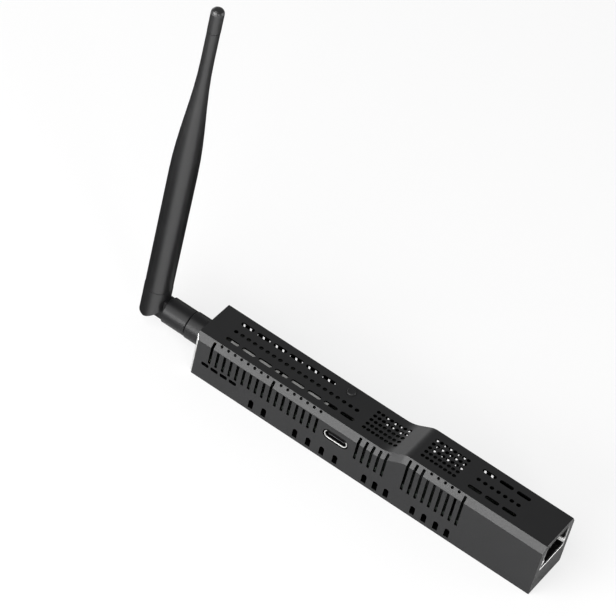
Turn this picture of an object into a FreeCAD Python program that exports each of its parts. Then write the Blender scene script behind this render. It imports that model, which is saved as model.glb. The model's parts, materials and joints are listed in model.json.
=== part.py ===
import FreeCAD, Part
import math
import os

# Network and radio adapter: a slim perforated housing whose socket end is raised, a USB socket in
# one long side, and a screwed-on rod antenna that turns about its connector and folds at a hinge.
# Millimetres. The origin is the middle of the housing's underside. +Z is up, +X points to the
# network socket, and the USB socket looks along -Y. "Tail" is the antenna end, "head" the other.
# A place called "from tail" is a distance along +X from the outside of the tail wall.

# Housing
housing_length = 136.0
wall = 0.7
chamfer_across = 1.6
chamfer_down = 2.5
tail_corner_bevel = 0.9

# Ramp between the low top and the raised top: a hollow arc, a straight run and a crown arc
raised_length = 64.0
ramp_angle = 28.4
ramp_hollow_radius = 10.5
ramp_crown_radius = 5.3

# Bottom cover, its posts and the two screws, one near each end
cover_thickness = 1.2
cover_gap = 0.1
post_height = 7.25
post_radius = 1.9
post_offset = 5.6
tail_post_from_tail = 5.2
head_post_from_head = 34.8
screw_radius = 1.0
screw_hole_gap = 0.15
screw_thread_gap = 0.02
screw_head_radius = 1.75
screw_head_height = 0.75
screw_head_recess = 0.1
screw_grip = 4.0
screw_tip_room = 0.6
screw_cross_length = 2.2
screw_cross_width = 0.45
screw_cross_depth = 0.5

# Circuit board
board_thickness = 1.6
board_edge_gap = 0.25
board_tail_gap = 2.4
board_head_gap = 0.3
room_over_board = 7.6
seat_gap = 0.02

# Network socket (shielded, latch upwards)
jack_width = 15.9
jack_height = 10.7
jack_depth = 13.5
jack_side_gap = 1.05
jack_head_gap = 0.95
jack_bay_gap = 0.15
jack_nose_width = 13.6
jack_nose_margin = 0.3
jack_nose_gap = 0.1
jack_sheet = 0.3
jack_face_setback = 0.3
jack_mouth_width = 11.9
jack_mouth_height = 6.7
jack_latch_width = 6.3
jack_latch_height = 1.3
jack_catch_width = 3.4
jack_catch_height = 0.8
jack_mouth_sill = 0.65
jack_mouth_depth = 12.5
jack_body_gap = 0.02
jack_contact_count = 8
jack_contact_pitch = 1.02
jack_contact_thickness = 0.4
jack_contact_rise = 2.3
jack_contact_front = 3.0
jack_contact_length = 8.0
jack_spring_from_floor = 1.5
jack_spring_height = 1.5
jack_spring_length = 4.5
jack_spring_bulge = 0.35

# USB socket
usb_from_tail = 57.3
usb_width = 8.94
usb_height = 3.16
usb_depth = 7.4
usb_sheet = 0.3
usb_lift = 0.05
usb_face_recess = 0.1
usb_window_gap = 0.12
usb_window_bevel = 0.45
usb_tongue_width = 6.7
usb_tongue_thickness = 0.7
usb_tongue_setback = 0.6
usb_base_depth = 2.0

# Side slots: three groups on each long side, upright, with their foot at one height
slot_width = 0.9
slot_pitch = 2.665
slot_foot = 8.7
slot_head_below_chamfer = 0.25
tail_slots_from_tail = 6.70
ramp_slots_from_head = 70.56
head_slots_from_head = 51.96
slot_counts = (17, 5, 9)
slots_running_tall = ((0, 9), (0, 1, 2, 3, 4), (0, 1, 2, 8))
dot_radius = 0.45
dot_sides = 6
dot_below_edge = 0.65

# Small arched openings near the foot of each long side, and four dashes near the tail
arch_width = 1.75
arch_height = 3.6
arch_foot = 1.3
arch_crown_sides = 5
arch_from_tail = (25.0, 30.2, 42.9, 48.2, 53.7, 59.0)
arch_from_head = (65.3, 61.0, 56.6, 46.1, 41.6, 37.0, 32.6)
dash_length = 2.8
dash_height = 1.1
dash_middle = 7.05
dash_start = 5.4
dash_pitch = 3.76
dash_count = 4

# Top openings: rows of slots and round holes along the housing, and two grids of round holes
row_offset = 4.45
top_slot_length = 5.1
top_slot_width = 1.4
top_slot_pitch = 6.6
slot_end_sides = 4
near_slot_start = 10.73
near_slot_count = 8
far_slot_start = 10.52
far_slot_count = 6
round_start = 8.91
round_pitch = 2.569
round_count = 20
round_radius = 0.68
round_sides = 8
raised_slot_from_head = 30.0
raised_slot_count = 3
raised_round_from_head = 31.4
raised_round_pitch = 2.555
raised_round_count = 7
grid_columns = 8
grid_rows = 5
grid_column_pitch = 1.745
grid_row_pitch = 2.18
grid_radius = 0.56
grid_sides = 8
grids_from_head = (72.5, 50.35)

# Button in the top, over its switch
button_from_tail = 52.0
button_offset = 5.2
button_radius = 1.65
button_gap = 0.1
button_proud = 0.45
button_flange_radius = 2.0
button_flange_height = 0.6
button_stem_radius = 0.8
button_travel = 0.35
button_edge_round = 0.3
switch_size = 3.4
switch_height = 2.0
switch_plunger_radius = 0.75
switch_plunger_rise = 0.7
switch_plunger_gap = 0.04

# Radio and processor modules: two riser strips, a thin board and a shield can close under the top,
# in line on the near side
module_board_thickness = 0.8
module_from_tail = 8.27
module_width = 6.8
module_offset = -3.55
module_gap = 0.9
radio_module_length = 21.43
processor_module_length = 18.8
riser_width = 1.6
riser_inset = 0.4
can_height = 3.0
can_top_gap = 0.1
can_margin = 0.2
can_sheet = 0.25

# Parts on the board: length along X, width along Y, height
transformer_size = (12.4, 9.0, 4.9)
transformer_from_head = 44.0
transformer_offset = 0.5
network_chip_size = (5.0, 5.0, 0.9)
network_chip_from_head = 57.0
network_chip_offset = 3.2
usb_chip_size = (4.0, 4.0, 0.9)
usb_chip_from_tail = 66.0
usb_chip_offset = -2.5
crystal_size = (3.2, 2.5, 0.8)
crystal_from_tail = 66.0
crystal_offset = -6.3
power_block_size = (11.0, 10.0, 5.8)
power_block_from_tail = 66.0
coil_radius = 3.4
coil_height = 4.2
coil_from_tail = 54.0
capacitor_radius = 2.9
capacitor_length = 9.5
capacitor_from_tail = 42.0
lamp_size = (1.6, 0.8, 0.6)
lamp_places = ((57.0, 3.0), (57.0, 5.0))

# Antenna socket: square flange behind the tail wall, threaded barrel through it, legs on the board
barrel_radius = 3.15
barrel_hole_gap = 0.1
barrel_reach = 5.4
socket_flange_size = 6.6
socket_flange_thickness = 1.8
socket_leg_length = 3.0
socket_leg_size = 0.9
socket_leg_offset = 2.6
socket_bore_radius = 2.1
socket_pin_radius = 0.5

# Coupling nut and swivel collar of the antenna
nut_house_gap = 0.2
nut_radius = 4.95
nut_length = 7.5
nut_end_wall = 1.2
nut_thread_gap = 0.05
nut_edge_bevel = 0.3
swivel_gap = 0.12
collar_radius = 4.75
collar_edge_bevel = 0.2
ferrule_flange_radius = 2.9
ferrule_flange_thickness = 0.6
ferrule_neck_radius = 2.2
ferrule_neck_gap = 0.05
ferrule_grip = 4.0
ferrule_bore_radius = 0.9

# Hinge: the collar's tongue stands in the fork at the rod's foot. Round bosses on both of its sides
# run in blind sockets in the fork's ears.
hinge_from_housing = 22.8
tongue_thickness = 4.0
tongue_radius = 4.2
tongue_side_gap = 0.12
fork_tongue_gap = 0.25
fork_collar_gap = 0.8
boss_radius = 1.3
boss_reach = 1.0
boss_socket_gap = 0.04
boss_end_gap = 0.1

# Rod: fork, tapering sleeve and rounded cap, heights above the hinge
rod_radius = 4.74
fork_radius = 4.84
fork_height = 7.8
fork_foot_drop = 4.2
fork_foot_bevel = 0.7
fork_foot_flat = 0.8
fork_ear_reach = 3.15
fork_ear_top = 1.0
fork_spigot_radius = 3.0
fork_spigot_height = 7.0
sleeve_spigot_gap = 0.05
taper_start = 60.0
taper_end = 108.0
taper_steps = 8
neck_radius = 2.15
sleeve_top = 120.2
sleeve_wall = 1.0
sleeve_seam_gap = 0.02
radiator_tube_radius = 2.0
radiator_tube_height = 28.0
radiator_wire_radius = 0.5
radiator_top_gap = 1.0
cap_radius = 2.2
cap_height = 9.0
cap_end_round = 1.5
cap_end_steps = 4
cap_groove = 0.2
cap_spigot_radius = 1.0
cap_spigot_depth = 4.0

# Values that follow from the ones above
tail_x = -housing_length / 2.0
head_x = tail_x + housing_length
inner_half = jack_width / 2.0 + jack_side_gap
half_width = inner_half + wall
board_bottom = cover_thickness + post_height
board_top = board_bottom + board_thickness
thin_height = board_top + room_over_board + wall
raised_height = board_top + jack_height + jack_head_gap + wall
can_top = thin_height - wall - can_top_gap
riser_height = can_top - can_height - module_board_thickness - board_top
axis_height = board_bottom + board_thickness / 2.0
hinge_x = tail_x - hinge_from_housing
ramp_start = housing_length - raised_length
hole_overrun = 1.0
nodes = {}


def vec(x, y, z):
    """A point or direction."""
    return FreeCAD.Vector(x, y, z)


def box(x_low, x_high, y_low, y_high, z_low, z_high):
    """A block between two corners."""
    return Part.makeBox(x_high - x_low, y_high - y_low, z_high - z_low, vec(x_low, y_low, z_low))


def middle_box(size, x, y, z_low):
    """A block of (length, width, height) with the middle of its foot at x, y, z_low."""
    length, width, height = size
    return box(x - length / 2.0, x + length / 2.0, y - width / 2.0, y + width / 2.0, z_low, z_low + height)


def rod_along(start, direction, radius, length):
    """A round bar from a start point."""
    return Part.makeCylinder(radius, length, start, direction)


def turned(points, origin, direction):
    """A turned solid: points are (distance along the axis, radius), closed along the axis."""
    axis = direction.normalize()
    side = axis.cross(vec(0, 1, 0))
    if side.Length < 0.5:
        side = axis.cross(vec(0, 0, 1))
    side.normalize()
    corners = [origin + axis * along + side * radius for along, radius in points]
    corners.append(corners[0])
    face = Part.Face(Part.makePolygon(corners))
    return face.revolve(origin, axis, 360)


def joined(shapes):
    """One solid of several that meet."""
    return shapes[0].multiFuse(shapes[1:]).removeSplitter()


def without(shape, tools):
    """The shape with every tool taken out of it."""
    return shape.cut(Part.makeCompound(tools)).removeSplitter()


def mirrored_sides(maker):
    """What a maker gives for the near side and for the far side."""
    return [maker(side) for side in (-1.0, 1.0)]


def from_tail(distance):
    """The X of a place measured from the tail."""
    return tail_x + distance


def sided_ring(radius, sides, first_angle=0.0, span=360.0):
    """The corners of a many-sided ring or arc as (across, up), as wide in area as the round one."""
    step = math.radians(span / sides)
    reach = radius * math.sqrt(step / math.sin(step))
    count = sides if span == 360.0 else sides + 1
    angles = [math.radians(first_angle) + index * step for index in range(count)]
    return [(reach * math.cos(angle), reach * math.sin(angle)) for angle in angles]


def drawn_out(corners, way):
    """A solid from closed corner points, drawn out one way."""
    return Part.Face(Part.makePolygon(corners + corners[:1])).extrude(way)


# Housing shape


def ramp_corners():
    """The ramp's four tangent points as (X, height)."""
    angle = math.radians(ramp_angle)
    rise = raised_height - thin_height
    bend = 1.0 - math.cos(angle)
    hollow_run = ramp_hollow_radius * math.sin(angle)
    hollow_top = thin_height + ramp_hollow_radius * bend
    crown_run = ramp_crown_radius * math.sin(angle)
    crown_foot = raised_height - ramp_crown_radius * bend
    straight_run = (rise - (ramp_hollow_radius + ramp_crown_radius) * bend) / math.tan(angle)
    start = from_tail(ramp_start)
    first = start + hollow_run
    second = first + straight_run
    crown_end = second + crown_run
    return ((start, thin_height), (first, hollow_top), (second, crown_foot), (crown_end, raised_height))


def ramp_arc_middle(arc_start, radius, centre_side):
    """The middle point of a ramp arc that starts or ends level at arc_start."""
    half = math.radians(ramp_angle) / 2.0
    along = radius * math.sin(half)
    rise = radius * (1.0 - math.cos(half))
    return arc_start[0] + centre_side * along, arc_start[1] + centre_side * rise


def profile_face(x_low, x_high, z_low, drop, y):
    """The side view of the housing between two X, its top lowered by drop, as a face at one Y."""
    foot, first, second, crown = ramp_corners()
    hollow_middle = ramp_arc_middle(foot, ramp_hollow_radius, 1.0)
    crown_middle = ramp_arc_middle(crown, ramp_crown_radius, -1.0)

    def at(point):
        return vec(point[0], y, point[1] - drop)

    top = [
        Part.LineSegment(at((x_low, thin_height)), at(foot)).toShape(),
        Part.Arc(at(foot), at(hollow_middle), at(first)).toShape(),
        Part.LineSegment(at(first), at(second)).toShape(),
        Part.Arc(at(second), at(crown_middle), at(crown)).toShape(),
        Part.LineSegment(at(crown), at((x_high, raised_height))).toShape(),
    ]
    head_low = vec(x_high, y, z_low)
    tail_low = vec(x_low, y, z_low)
    ends = [
        Part.LineSegment(at((x_high, raised_height)), head_low).toShape(),
        Part.LineSegment(head_low, tail_low).toShape(),
        Part.LineSegment(tail_low, at((x_low, thin_height))).toShape(),
    ]
    return Part.Face(Part.Wire(top + ends))


def chamfered_bar(x_low, x_high, z_low, drop, half, across, down):
    """The housing's side view drawn out sideways, with both long top edges bevelled."""
    core_half = half - across
    core = profile_face(x_low, x_high, z_low, drop, -core_half).extrude(vec(0, 2.0 * core_half, 0))
    flanks = []
    for side in (-1.0, 1.0):
        face = profile_face(x_low, x_high, z_low, drop, side * core_half)
        flanks.append(face.extrude(vec(0, side * across, -down)))
    bar = joined([core] + flanks)
    return bar.common(box(x_low, x_high, -half, half, z_low, raised_height))


def inner_chamfer():
    """The cavity's bevel that keeps the wall even: (across, down)."""
    slant = math.hypot(chamfer_across, chamfer_down)
    normal_y = chamfer_down / slant
    normal_z = chamfer_across / slant
    down = chamfer_down - wall * (1.0 - (1.0 - normal_y) / normal_z)
    return down * chamfer_across / chamfer_down, down


def top_at(distance):
    """The outside height of the housing at a distance from the tail."""
    foot, first, second, crown = ramp_corners()
    x = from_tail(distance)
    if x <= foot[0]:
        return thin_height
    if x <= first[0]:
        reach = x - foot[0]
        return thin_height + ramp_hollow_radius - math.sqrt(ramp_hollow_radius ** 2 - reach ** 2)
    if x <= second[0]:
        return first[1] + (x - first[0]) * math.tan(math.radians(ramp_angle))
    if x <= crown[0]:
        reach = crown[0] - x
        return raised_height - ramp_crown_radius + math.sqrt(ramp_crown_radius ** 2 - reach ** 2)
    return raised_height


# Openings in the housing


def side_box(side, x_low, x_high, inner_y, z_low, z_high):
    """A block from inside the cavity out past one long side."""
    outer_y = half_width + hole_overrun
    y_low, y_high = sorted((side * inner_y, side * outer_y))
    return box(x_low, x_high, y_low, y_high, z_low, z_high)


def slot_places():
    """Each upright slot as its distance from the tail and whether it runs up into the bevel."""
    starts = (
        tail_slots_from_tail,
        housing_length - ramp_slots_from_head,
        housing_length - head_slots_from_head,
    )
    places = []
    for start, count, tall in zip(starts, slot_counts, slots_running_tall):
        places.extend((start + index * slot_pitch, index in tall) for index in range(count))
    return places


def side_slots():
    """The upright slots of both long sides."""
    tools = []
    across, down = inner_chamfer()
    shallow = inner_half - hole_overrun / 2.0
    deep = inner_half - across - hole_overrun / 4.0
    for distance, is_tall in slot_places():
        low_x = from_tail(distance) - slot_width / 2.0
        outside = top_at(distance)
        if is_tall:
            head = outside - dot_below_edge * chamfer_down / math.hypot(chamfer_across, chamfer_down)
            inner_y = deep
        else:
            head = outside - chamfer_down - slot_head_below_chamfer
            inner_y = shallow
        for side in (-1.0, 1.0):
            tools.append(side_box(side, low_x, low_x + slot_width, inner_y, slot_foot, head))
    return tools


def chamfer_dots():
    """A small hole through the bevel above each short slot, square to the bevel."""
    tools = []
    slant = math.hypot(chamfer_across, chamfer_down)
    share = dot_below_edge / slant
    y = half_width - chamfer_across + share * chamfer_across
    for distance, is_tall in slot_places():
        if is_tall:
            continue
        z = top_at(distance) - share * chamfer_down
        for side in (-1.0, 1.0):
            outward = vec(0, side * chamfer_down / slant, chamfer_across / slant)
            upward = vec(0, -side * chamfer_across / slant, chamfer_down / slant)
            middle = vec(from_tail(distance), side * y, z) + outward * hole_overrun
            corners = sided_ring(dot_radius, dot_sides)
            ring = [middle + vec(across, 0, 0) + upward * up for across, up in corners]
            tools.append(drawn_out(ring, outward * -(wall + 2.0 * hole_overrun)))
    return tools


def arches(distances):
    """Arched openings near the foot of both long sides, at distances from the tail."""
    tools = []
    inner_y = inner_half - hole_overrun / 2.0
    reach = half_width + hole_overrun - inner_y
    radius = arch_width / 2.0
    spring = arch_foot + arch_height - radius
    crown = sided_ring(radius, arch_crown_sides, 0.0, 180.0)
    outline = [(-radius, arch_foot - spring), (radius, arch_foot - spring)] + crown
    for distance in distances:
        x = from_tail(distance)
        for side in (-1.0, 1.0):
            corners = [vec(x + across, side * inner_y, spring + up) for across, up in outline]
            tools.append(drawn_out(corners, vec(0, side * reach, 0)))
    return tools


def dashes():
    """The short level openings low on both long sides, near the tail."""
    tools = []
    inner_y = inner_half - hole_overrun / 2.0
    for index in range(dash_count):
        x_low = from_tail(dash_start + index * dash_pitch) - dash_length / 2.0
        z_low = dash_middle - dash_height / 2.0
        for side in (-1.0, 1.0):
            tools.append(side_box(side, x_low, x_low + dash_length, inner_y, z_low, z_low + dash_height))
    return tools


def through_top(distance, y, outline):
    """One opening through the top from an outline of (across, up) corners."""
    z = thin_height - wall - hole_overrun
    x = from_tail(distance)
    corners = [vec(x + across, y + up, z) for across, up in outline]
    return drawn_out(corners, vec(0, 0, raised_height + hole_overrun - z))


def slot_row(start, count, y):
    """A row of round-ended slots through the top, lying along the housing."""
    radius = top_slot_width / 2.0
    straight = top_slot_length / 2.0 - radius
    head_end = [(straight + across, up) for across, up in sided_ring(radius, slot_end_sides, -90.0, 180.0)]
    tail_end = [(-across, -up) for across, up in head_end]
    return [through_top(start + index * top_slot_pitch, y, head_end + tail_end) for index in range(count)]


def round_row(start, pitch, count):
    """A row of small holes along the middle of the top."""
    ring = sided_ring(round_radius, round_sides, 180.0 / round_sides)
    return [through_top(start + index * pitch, 0.0, ring) for index in range(count)]


def hole_grid(start):
    """A grid of small holes through the top."""
    ring = sided_ring(grid_radius, grid_sides, 180.0 / grid_sides)
    tools = []
    for column in range(grid_columns):
        for row in range(grid_rows):
            y = (row - (grid_rows - 1) / 2.0) * grid_row_pitch
            tools.append(through_top(start + column * grid_column_pitch, y, ring))
    return tools


def top_openings():
    """The rows and grids of the top, one group of openings each."""
    raised_slots = housing_length - raised_slot_from_head
    raised_rounds = housing_length - raised_round_from_head
    groups = [
        slot_row(near_slot_start, near_slot_count, -row_offset),
        slot_row(far_slot_start, far_slot_count, row_offset),
        round_row(round_start, round_pitch, round_count),
        slot_row(raised_slots, raised_slot_count, -row_offset),
        slot_row(raised_slots, raised_slot_count, row_offset),
        round_row(raised_rounds, raised_round_pitch, raised_round_count),
    ]
    return groups + [hole_grid(housing_length - distance) for distance in grids_from_head]


def rounded_outline(x_middle, z_middle, width, height, y):
    """The outline of a USB socket, round at both ends, as a wire at one Y."""
    radius = height / 2.0
    straight = width / 2.0 - radius
    a = vec(x_middle - straight, y, z_middle - radius)
    b = vec(x_middle + straight, y, z_middle - radius)
    c = vec(x_middle + straight, y, z_middle + radius)
    d = vec(x_middle - straight, y, z_middle + radius)
    return Part.Wire([
        Part.LineSegment(a, b).toShape(),
        Part.Arc(b, vec(x_middle + straight + radius, y, z_middle), c).toShape(),
        Part.LineSegment(c, d).toShape(),
        Part.Arc(d, vec(x_middle - straight - radius, y, z_middle), a).toShape(),
    ])


def rounded_bar(x_middle, z_middle, width, height, y_low, y_high):
    """A bar along Y with the outline of a USB socket."""
    outline = rounded_outline(x_middle, z_middle, width, height, y_low)
    return Part.Face(outline).extrude(vec(0, y_high - y_low, 0))


def usb_middle():
    """The X and height of the USB socket's middle."""
    return from_tail(usb_from_tail), board_top + usb_lift + usb_height / 2.0


def usb_window():
    """The window in the near side for the USB socket, with a bevelled outer rim."""
    x, z = usb_middle()
    width = usb_width + 2.0 * usb_window_gap
    height = usb_height + 2.0 * usb_window_gap
    outside = -half_width
    rim_width = width + 2.0 * usb_window_bevel
    rim_height = height + 2.0 * usb_window_bevel
    straight_part = rounded_bar(x, z, width, height, outside - hole_overrun, -inner_half + hole_overrun / 2.0)
    inner_ring = rounded_outline(x, z, width, height, outside + usb_window_bevel)
    outer_ring = rounded_outline(x, z, rim_width, rim_height, outside)
    bevel = Part.makeLoft([inner_ring, outer_ring], True)
    return straight_part.fuse(bevel).removeSplitter()


def jack_nose_limits():
    """The network socket's nose: (lowest, highest) height."""
    return board_top + jack_nose_margin, board_top + jack_height - jack_nose_margin


def connector_windows():
    """The windows for the network socket, the USB socket, the antenna socket and the button."""
    nose_low, nose_high = jack_nose_limits()
    nose_half = jack_nose_width / 2.0 + jack_nose_gap
    jack_window = box(
        head_x - wall - hole_overrun,
        head_x + hole_overrun,
        -nose_half,
        nose_half,
        nose_low - jack_nose_gap,
        nose_high + jack_nose_gap,
    )
    through_wall = wall + 2.0 * hole_overrun
    socket_start = vec(tail_x - hole_overrun, 0, axis_height)
    socket_hole = rod_along(socket_start, vec(1, 0, 0), barrel_radius + barrel_hole_gap, through_wall)
    button_foot = vec(from_tail(button_from_tail), button_offset, thin_height - wall - hole_overrun)
    button_hole = rod_along(button_foot, vec(0, 0, 1), button_radius + button_gap, through_wall)
    return [jack_window, usb_window(), socket_hole, button_hole]


def post_places():
    """The two posts and screws, far side at the tail and near side at the head: (from tail, Y)."""
    return ((tail_post_from_tail, post_offset), (housing_length - head_post_from_head, -post_offset))


def tail_corner(side):
    """The wedge that bevels one upright corner of the tail."""
    reach = tail_corner_bevel
    y = side * half_width
    corner = vec(tail_x, y, -hole_overrun)
    along = vec(tail_x + reach, y, -hole_overrun)
    inward = vec(tail_x, y - side * reach, -hole_overrun)
    wedge = Part.Face(Part.makePolygon([corner, along, inward, corner]))
    return wedge.extrude(vec(0, 0, raised_height + 2.0 * hole_overrun))


def make_housing():
    """The perforated one-piece shell, open at the bottom, with two screw bosses."""
    outer = chamfered_bar(tail_x, head_x, 0.0, 0.0, half_width, chamfer_across, chamfer_down)
    outer = without(outer, mirrored_sides(tail_corner))
    across, down = inner_chamfer()
    cavity_low = tail_x + wall
    cavity_high = head_x - wall
    cavity = chamfered_bar(cavity_low, cavity_high, -hole_overrun, wall, inner_half, across, down)
    bay_start = cavity_high - jack_depth - jack_bay_gap
    bay_half = jack_width / 2.0 + jack_bay_gap
    bay = box(bay_start, cavity_high, -bay_half, bay_half, board_top, board_top + jack_height + jack_bay_gap)
    shell = outer.cut(cavity).cut(bay)
    bosses = []
    for distance, y in post_places():
        top = top_at(distance) - wall / 2.0
        start_point = vec(from_tail(distance), y, board_top + seat_gap)
        bosses.append(rod_along(start_point, vec(0, 0, 1), post_radius, top - board_top - seat_gap))
    shell = joined([shell] + bosses)
    pilots = []
    for distance, y in post_places():
        start_point = vec(from_tail(distance), y, board_top - hole_overrun)
        depth = hole_overrun + screw_grip + screw_tip_room
        pilots.append(rod_along(start_point, vec(0, 0, 1), screw_radius + screw_thread_gap, depth))
    far_arches = arches([housing_length - distance for distance in arch_from_head])
    near_arches = arches(arch_from_tail)
    groups = [pilots, connector_windows(), side_slots(), chamfer_dots(), near_arches, far_arches, dashes()]
    for tools in groups + top_openings():
        shell = shell.cut(Part.makeCompound(tools))
    nodes["housing_shell"] = shell


# Bottom cover and screws


def make_cover():
    """The flush bottom plate with its two posts and countersunk screw holes."""
    half = inner_half - cover_gap
    edge = wall + cover_gap
    parts = [box(tail_x + edge, head_x - edge, -half, half, 0.0, cover_thickness)]
    for distance, y in post_places():
        foot = vec(from_tail(distance), y, 0.0)
        parts.append(rod_along(foot, vec(0, 0, 1), post_radius, board_bottom - seat_gap))
    plate = joined(parts)
    tools = []
    for distance, y in post_places():
        foot = vec(from_tail(distance), y, 0.0)
        bore = screw_radius + screw_hole_gap
        head = screw_head_radius + screw_hole_gap
        cone_foot = screw_head_recess
        cone_top = screw_head_recess + screw_head_height
        outline = [
            (-hole_overrun, 0.0),
            (-hole_overrun, head),
            (cone_foot, head),
            (cone_top, bore),
            (board_bottom + hole_overrun, bore),
            (board_bottom + hole_overrun, 0.0),
        ]
        tools.append(turned(outline, foot, vec(0, 0, 1)))
    nodes["bottom_cover"] = without(plate, tools)


def make_screws():
    """Two countersunk cross-head screws from below, through cover and board into the bosses."""
    screws = []
    tip = board_top + screw_grip
    for distance, y in post_places():
        foot = vec(from_tail(distance), y, 0.0)
        outline = [
            (screw_head_recess, 0.0),
            (screw_head_recess, screw_head_radius),
            (screw_head_recess + screw_head_height, screw_radius),
            (tip - screw_radius, screw_radius),
            (tip, 0.0),
        ]
        screw = turned(outline, foot, vec(0, 0, 1))
        x = from_tail(distance)
        long_half = screw_cross_length / 2.0
        short_half = screw_cross_width / 2.0
        depth_top = screw_head_recess + screw_cross_depth
        bar_x = box(x - long_half, x + long_half, y - short_half, y + short_half, 0.0, depth_top)
        bar_y = box(x - short_half, x + short_half, y - long_half, y + long_half, 0.0, depth_top)
        screws.append(screw.cut(bar_x.fuse(bar_y)).removeSplitter())
    nodes["cover_screws"] = Part.makeCompound(screws)


# Circuit board and what it carries


def make_board():
    """The circuit board with its screw holes."""
    half = inner_half - board_edge_gap
    tail_end = tail_x + wall + board_tail_gap
    head_end = head_x - wall - board_head_gap
    board = box(tail_end, head_end, -half, half, board_bottom, board_top)
    holes = []
    for distance, y in post_places():
        start_point = vec(from_tail(distance), y, board_bottom - hole_overrun)
        length = board_thickness + 2.0 * hole_overrun
        holes.append(rod_along(start_point, vec(0, 0, 1), screw_radius + screw_hole_gap, length))
    nodes["main_board"] = without(board, holes)


def make_module(name, distance, length):
    """A module: two riser strips, its thin board and its open-bottomed shield can."""
    x = from_tail(distance) + length / 2.0
    riser_size = (length - 2.0 * riser_inset, riser_width, riser_height)
    riser_offset = module_width / 2.0 - riser_inset - riser_width / 2.0
    strips = []
    for side in (-1.0, 1.0):
        strips.append(middle_box(riser_size, x, module_offset + side * riser_offset, board_top))
    nodes[name + "_risers"] = Part.makeCompound(strips)
    board_size = (length, module_width, module_board_thickness)
    nodes[name + "_board"] = middle_box(board_size, x, module_offset, board_top + riser_height)
    foot = board_top + riser_height + module_board_thickness
    can_length = length - 2.0 * can_margin
    can_width = module_width - 2.0 * can_margin
    can = middle_box((can_length, can_width, can_height), x, module_offset, foot)
    hollow_size = (can_length - 2.0 * can_sheet, can_width - 2.0 * can_sheet, can_height - can_sheet)
    nodes[name + "_can"] = can.cut(middle_box(hollow_size, x, module_offset, foot))


def make_board_parts():
    """The larger parts on both faces of the board."""
    top_parts = {
        "network_transformer": (transformer_size, housing_length - transformer_from_head, transformer_offset),
        "network_chip": (network_chip_size, housing_length - network_chip_from_head, network_chip_offset),
        "usb_chip": (usb_chip_size, usb_chip_from_tail, usb_chip_offset),
        "clock_crystal": (crystal_size, crystal_from_tail, crystal_offset),
    }
    for name, (size, distance, y) in top_parts.items():
        nodes[name] = middle_box(size, from_tail(distance), y, board_top)
    block_x = from_tail(power_block_from_tail)
    nodes["power_transformer"] = middle_box(power_block_size, block_x, 0.0, board_bottom - power_block_size[2])
    coil_start = vec(from_tail(coil_from_tail), 0, board_bottom - coil_height)
    nodes["power_coil"] = rod_along(coil_start, vec(0, 0, 1), coil_radius, coil_height)
    can_x = from_tail(capacitor_from_tail) - capacitor_length / 2.0
    can_start = vec(can_x, 0, board_bottom - capacitor_radius)
    nodes["storage_capacitor"] = rod_along(can_start, vec(1, 0, 0), capacitor_radius, capacitor_length)
    lamps = [middle_box(lamp_size, from_tail(distance), y, board_top) for distance, y in lamp_places]
    nodes["status_lamps"] = Part.makeCompound(lamps)


def make_button():
    """The button cap in the top, the switch under it and the switch's plunger."""
    x = from_tail(button_from_tail)
    axis_foot = vec(x, button_offset, 0.0)
    ceiling = thin_height - wall
    proud = thin_height + button_proud
    switch_top = board_top + switch_height
    plunger_top = switch_top + switch_plunger_rise
    cap_outline = [
        (plunger_top, 0.0),
        (plunger_top, button_stem_radius),
        (ceiling - button_flange_height - seat_gap, button_stem_radius),
        (ceiling - button_flange_height - seat_gap, button_flange_radius),
        (ceiling - seat_gap, button_flange_radius),
        (ceiling - seat_gap, button_radius),
        (proud - button_edge_round, button_radius),
        (proud, button_radius - button_edge_round),
        (proud, 0.0),
    ]
    nodes["button_cap"] = turned(cap_outline, axis_foot, vec(0, 0, 1))
    well = button_travel + seat_gap
    plunger_start = vec(x, button_offset, switch_top - switch_plunger_rise)
    plunger_length = 2.0 * switch_plunger_rise
    nodes["switch_plunger"] = rod_along(plunger_start, vec(0, 0, 1), switch_plunger_radius, plunger_length)
    body = middle_box((switch_size, switch_size, switch_height), x, button_offset, board_top)
    well_start = vec(x, button_offset, switch_top - switch_plunger_rise - well)
    well_length = switch_plunger_rise + well + hole_overrun
    well_hole = rod_along(well_start, vec(0, 0, 1), switch_plunger_radius + switch_plunger_gap, well_length)
    nodes["switch_body"] = body.cut(well_hole)


# Network socket


def jack_mouth(x_low, x_high):
    """The plug opening's stepped section, drawn out along X."""
    sill = board_top + jack_nose_margin + jack_mouth_sill
    latch_foot = sill + jack_mouth_height
    catch_foot = latch_foot + jack_latch_height
    catch_top = catch_foot + jack_catch_height
    steps = (
        (jack_mouth_width / 2.0, sill, latch_foot),
        (jack_latch_width / 2.0, latch_foot, catch_foot),
        (jack_catch_width / 2.0, catch_foot, catch_top),
    )
    right = []
    for half, low, high in steps:
        right.append((half, low))
        right.append((half, high))
    left = [(-half, z) for half, z in reversed(right)]
    corners = [vec(x_low, y, z) for y, z in right + left]
    corners.append(corners[0])
    return Part.Face(Part.makePolygon(corners)).extrude(vec(x_high - x_low, 0, 0))


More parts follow.
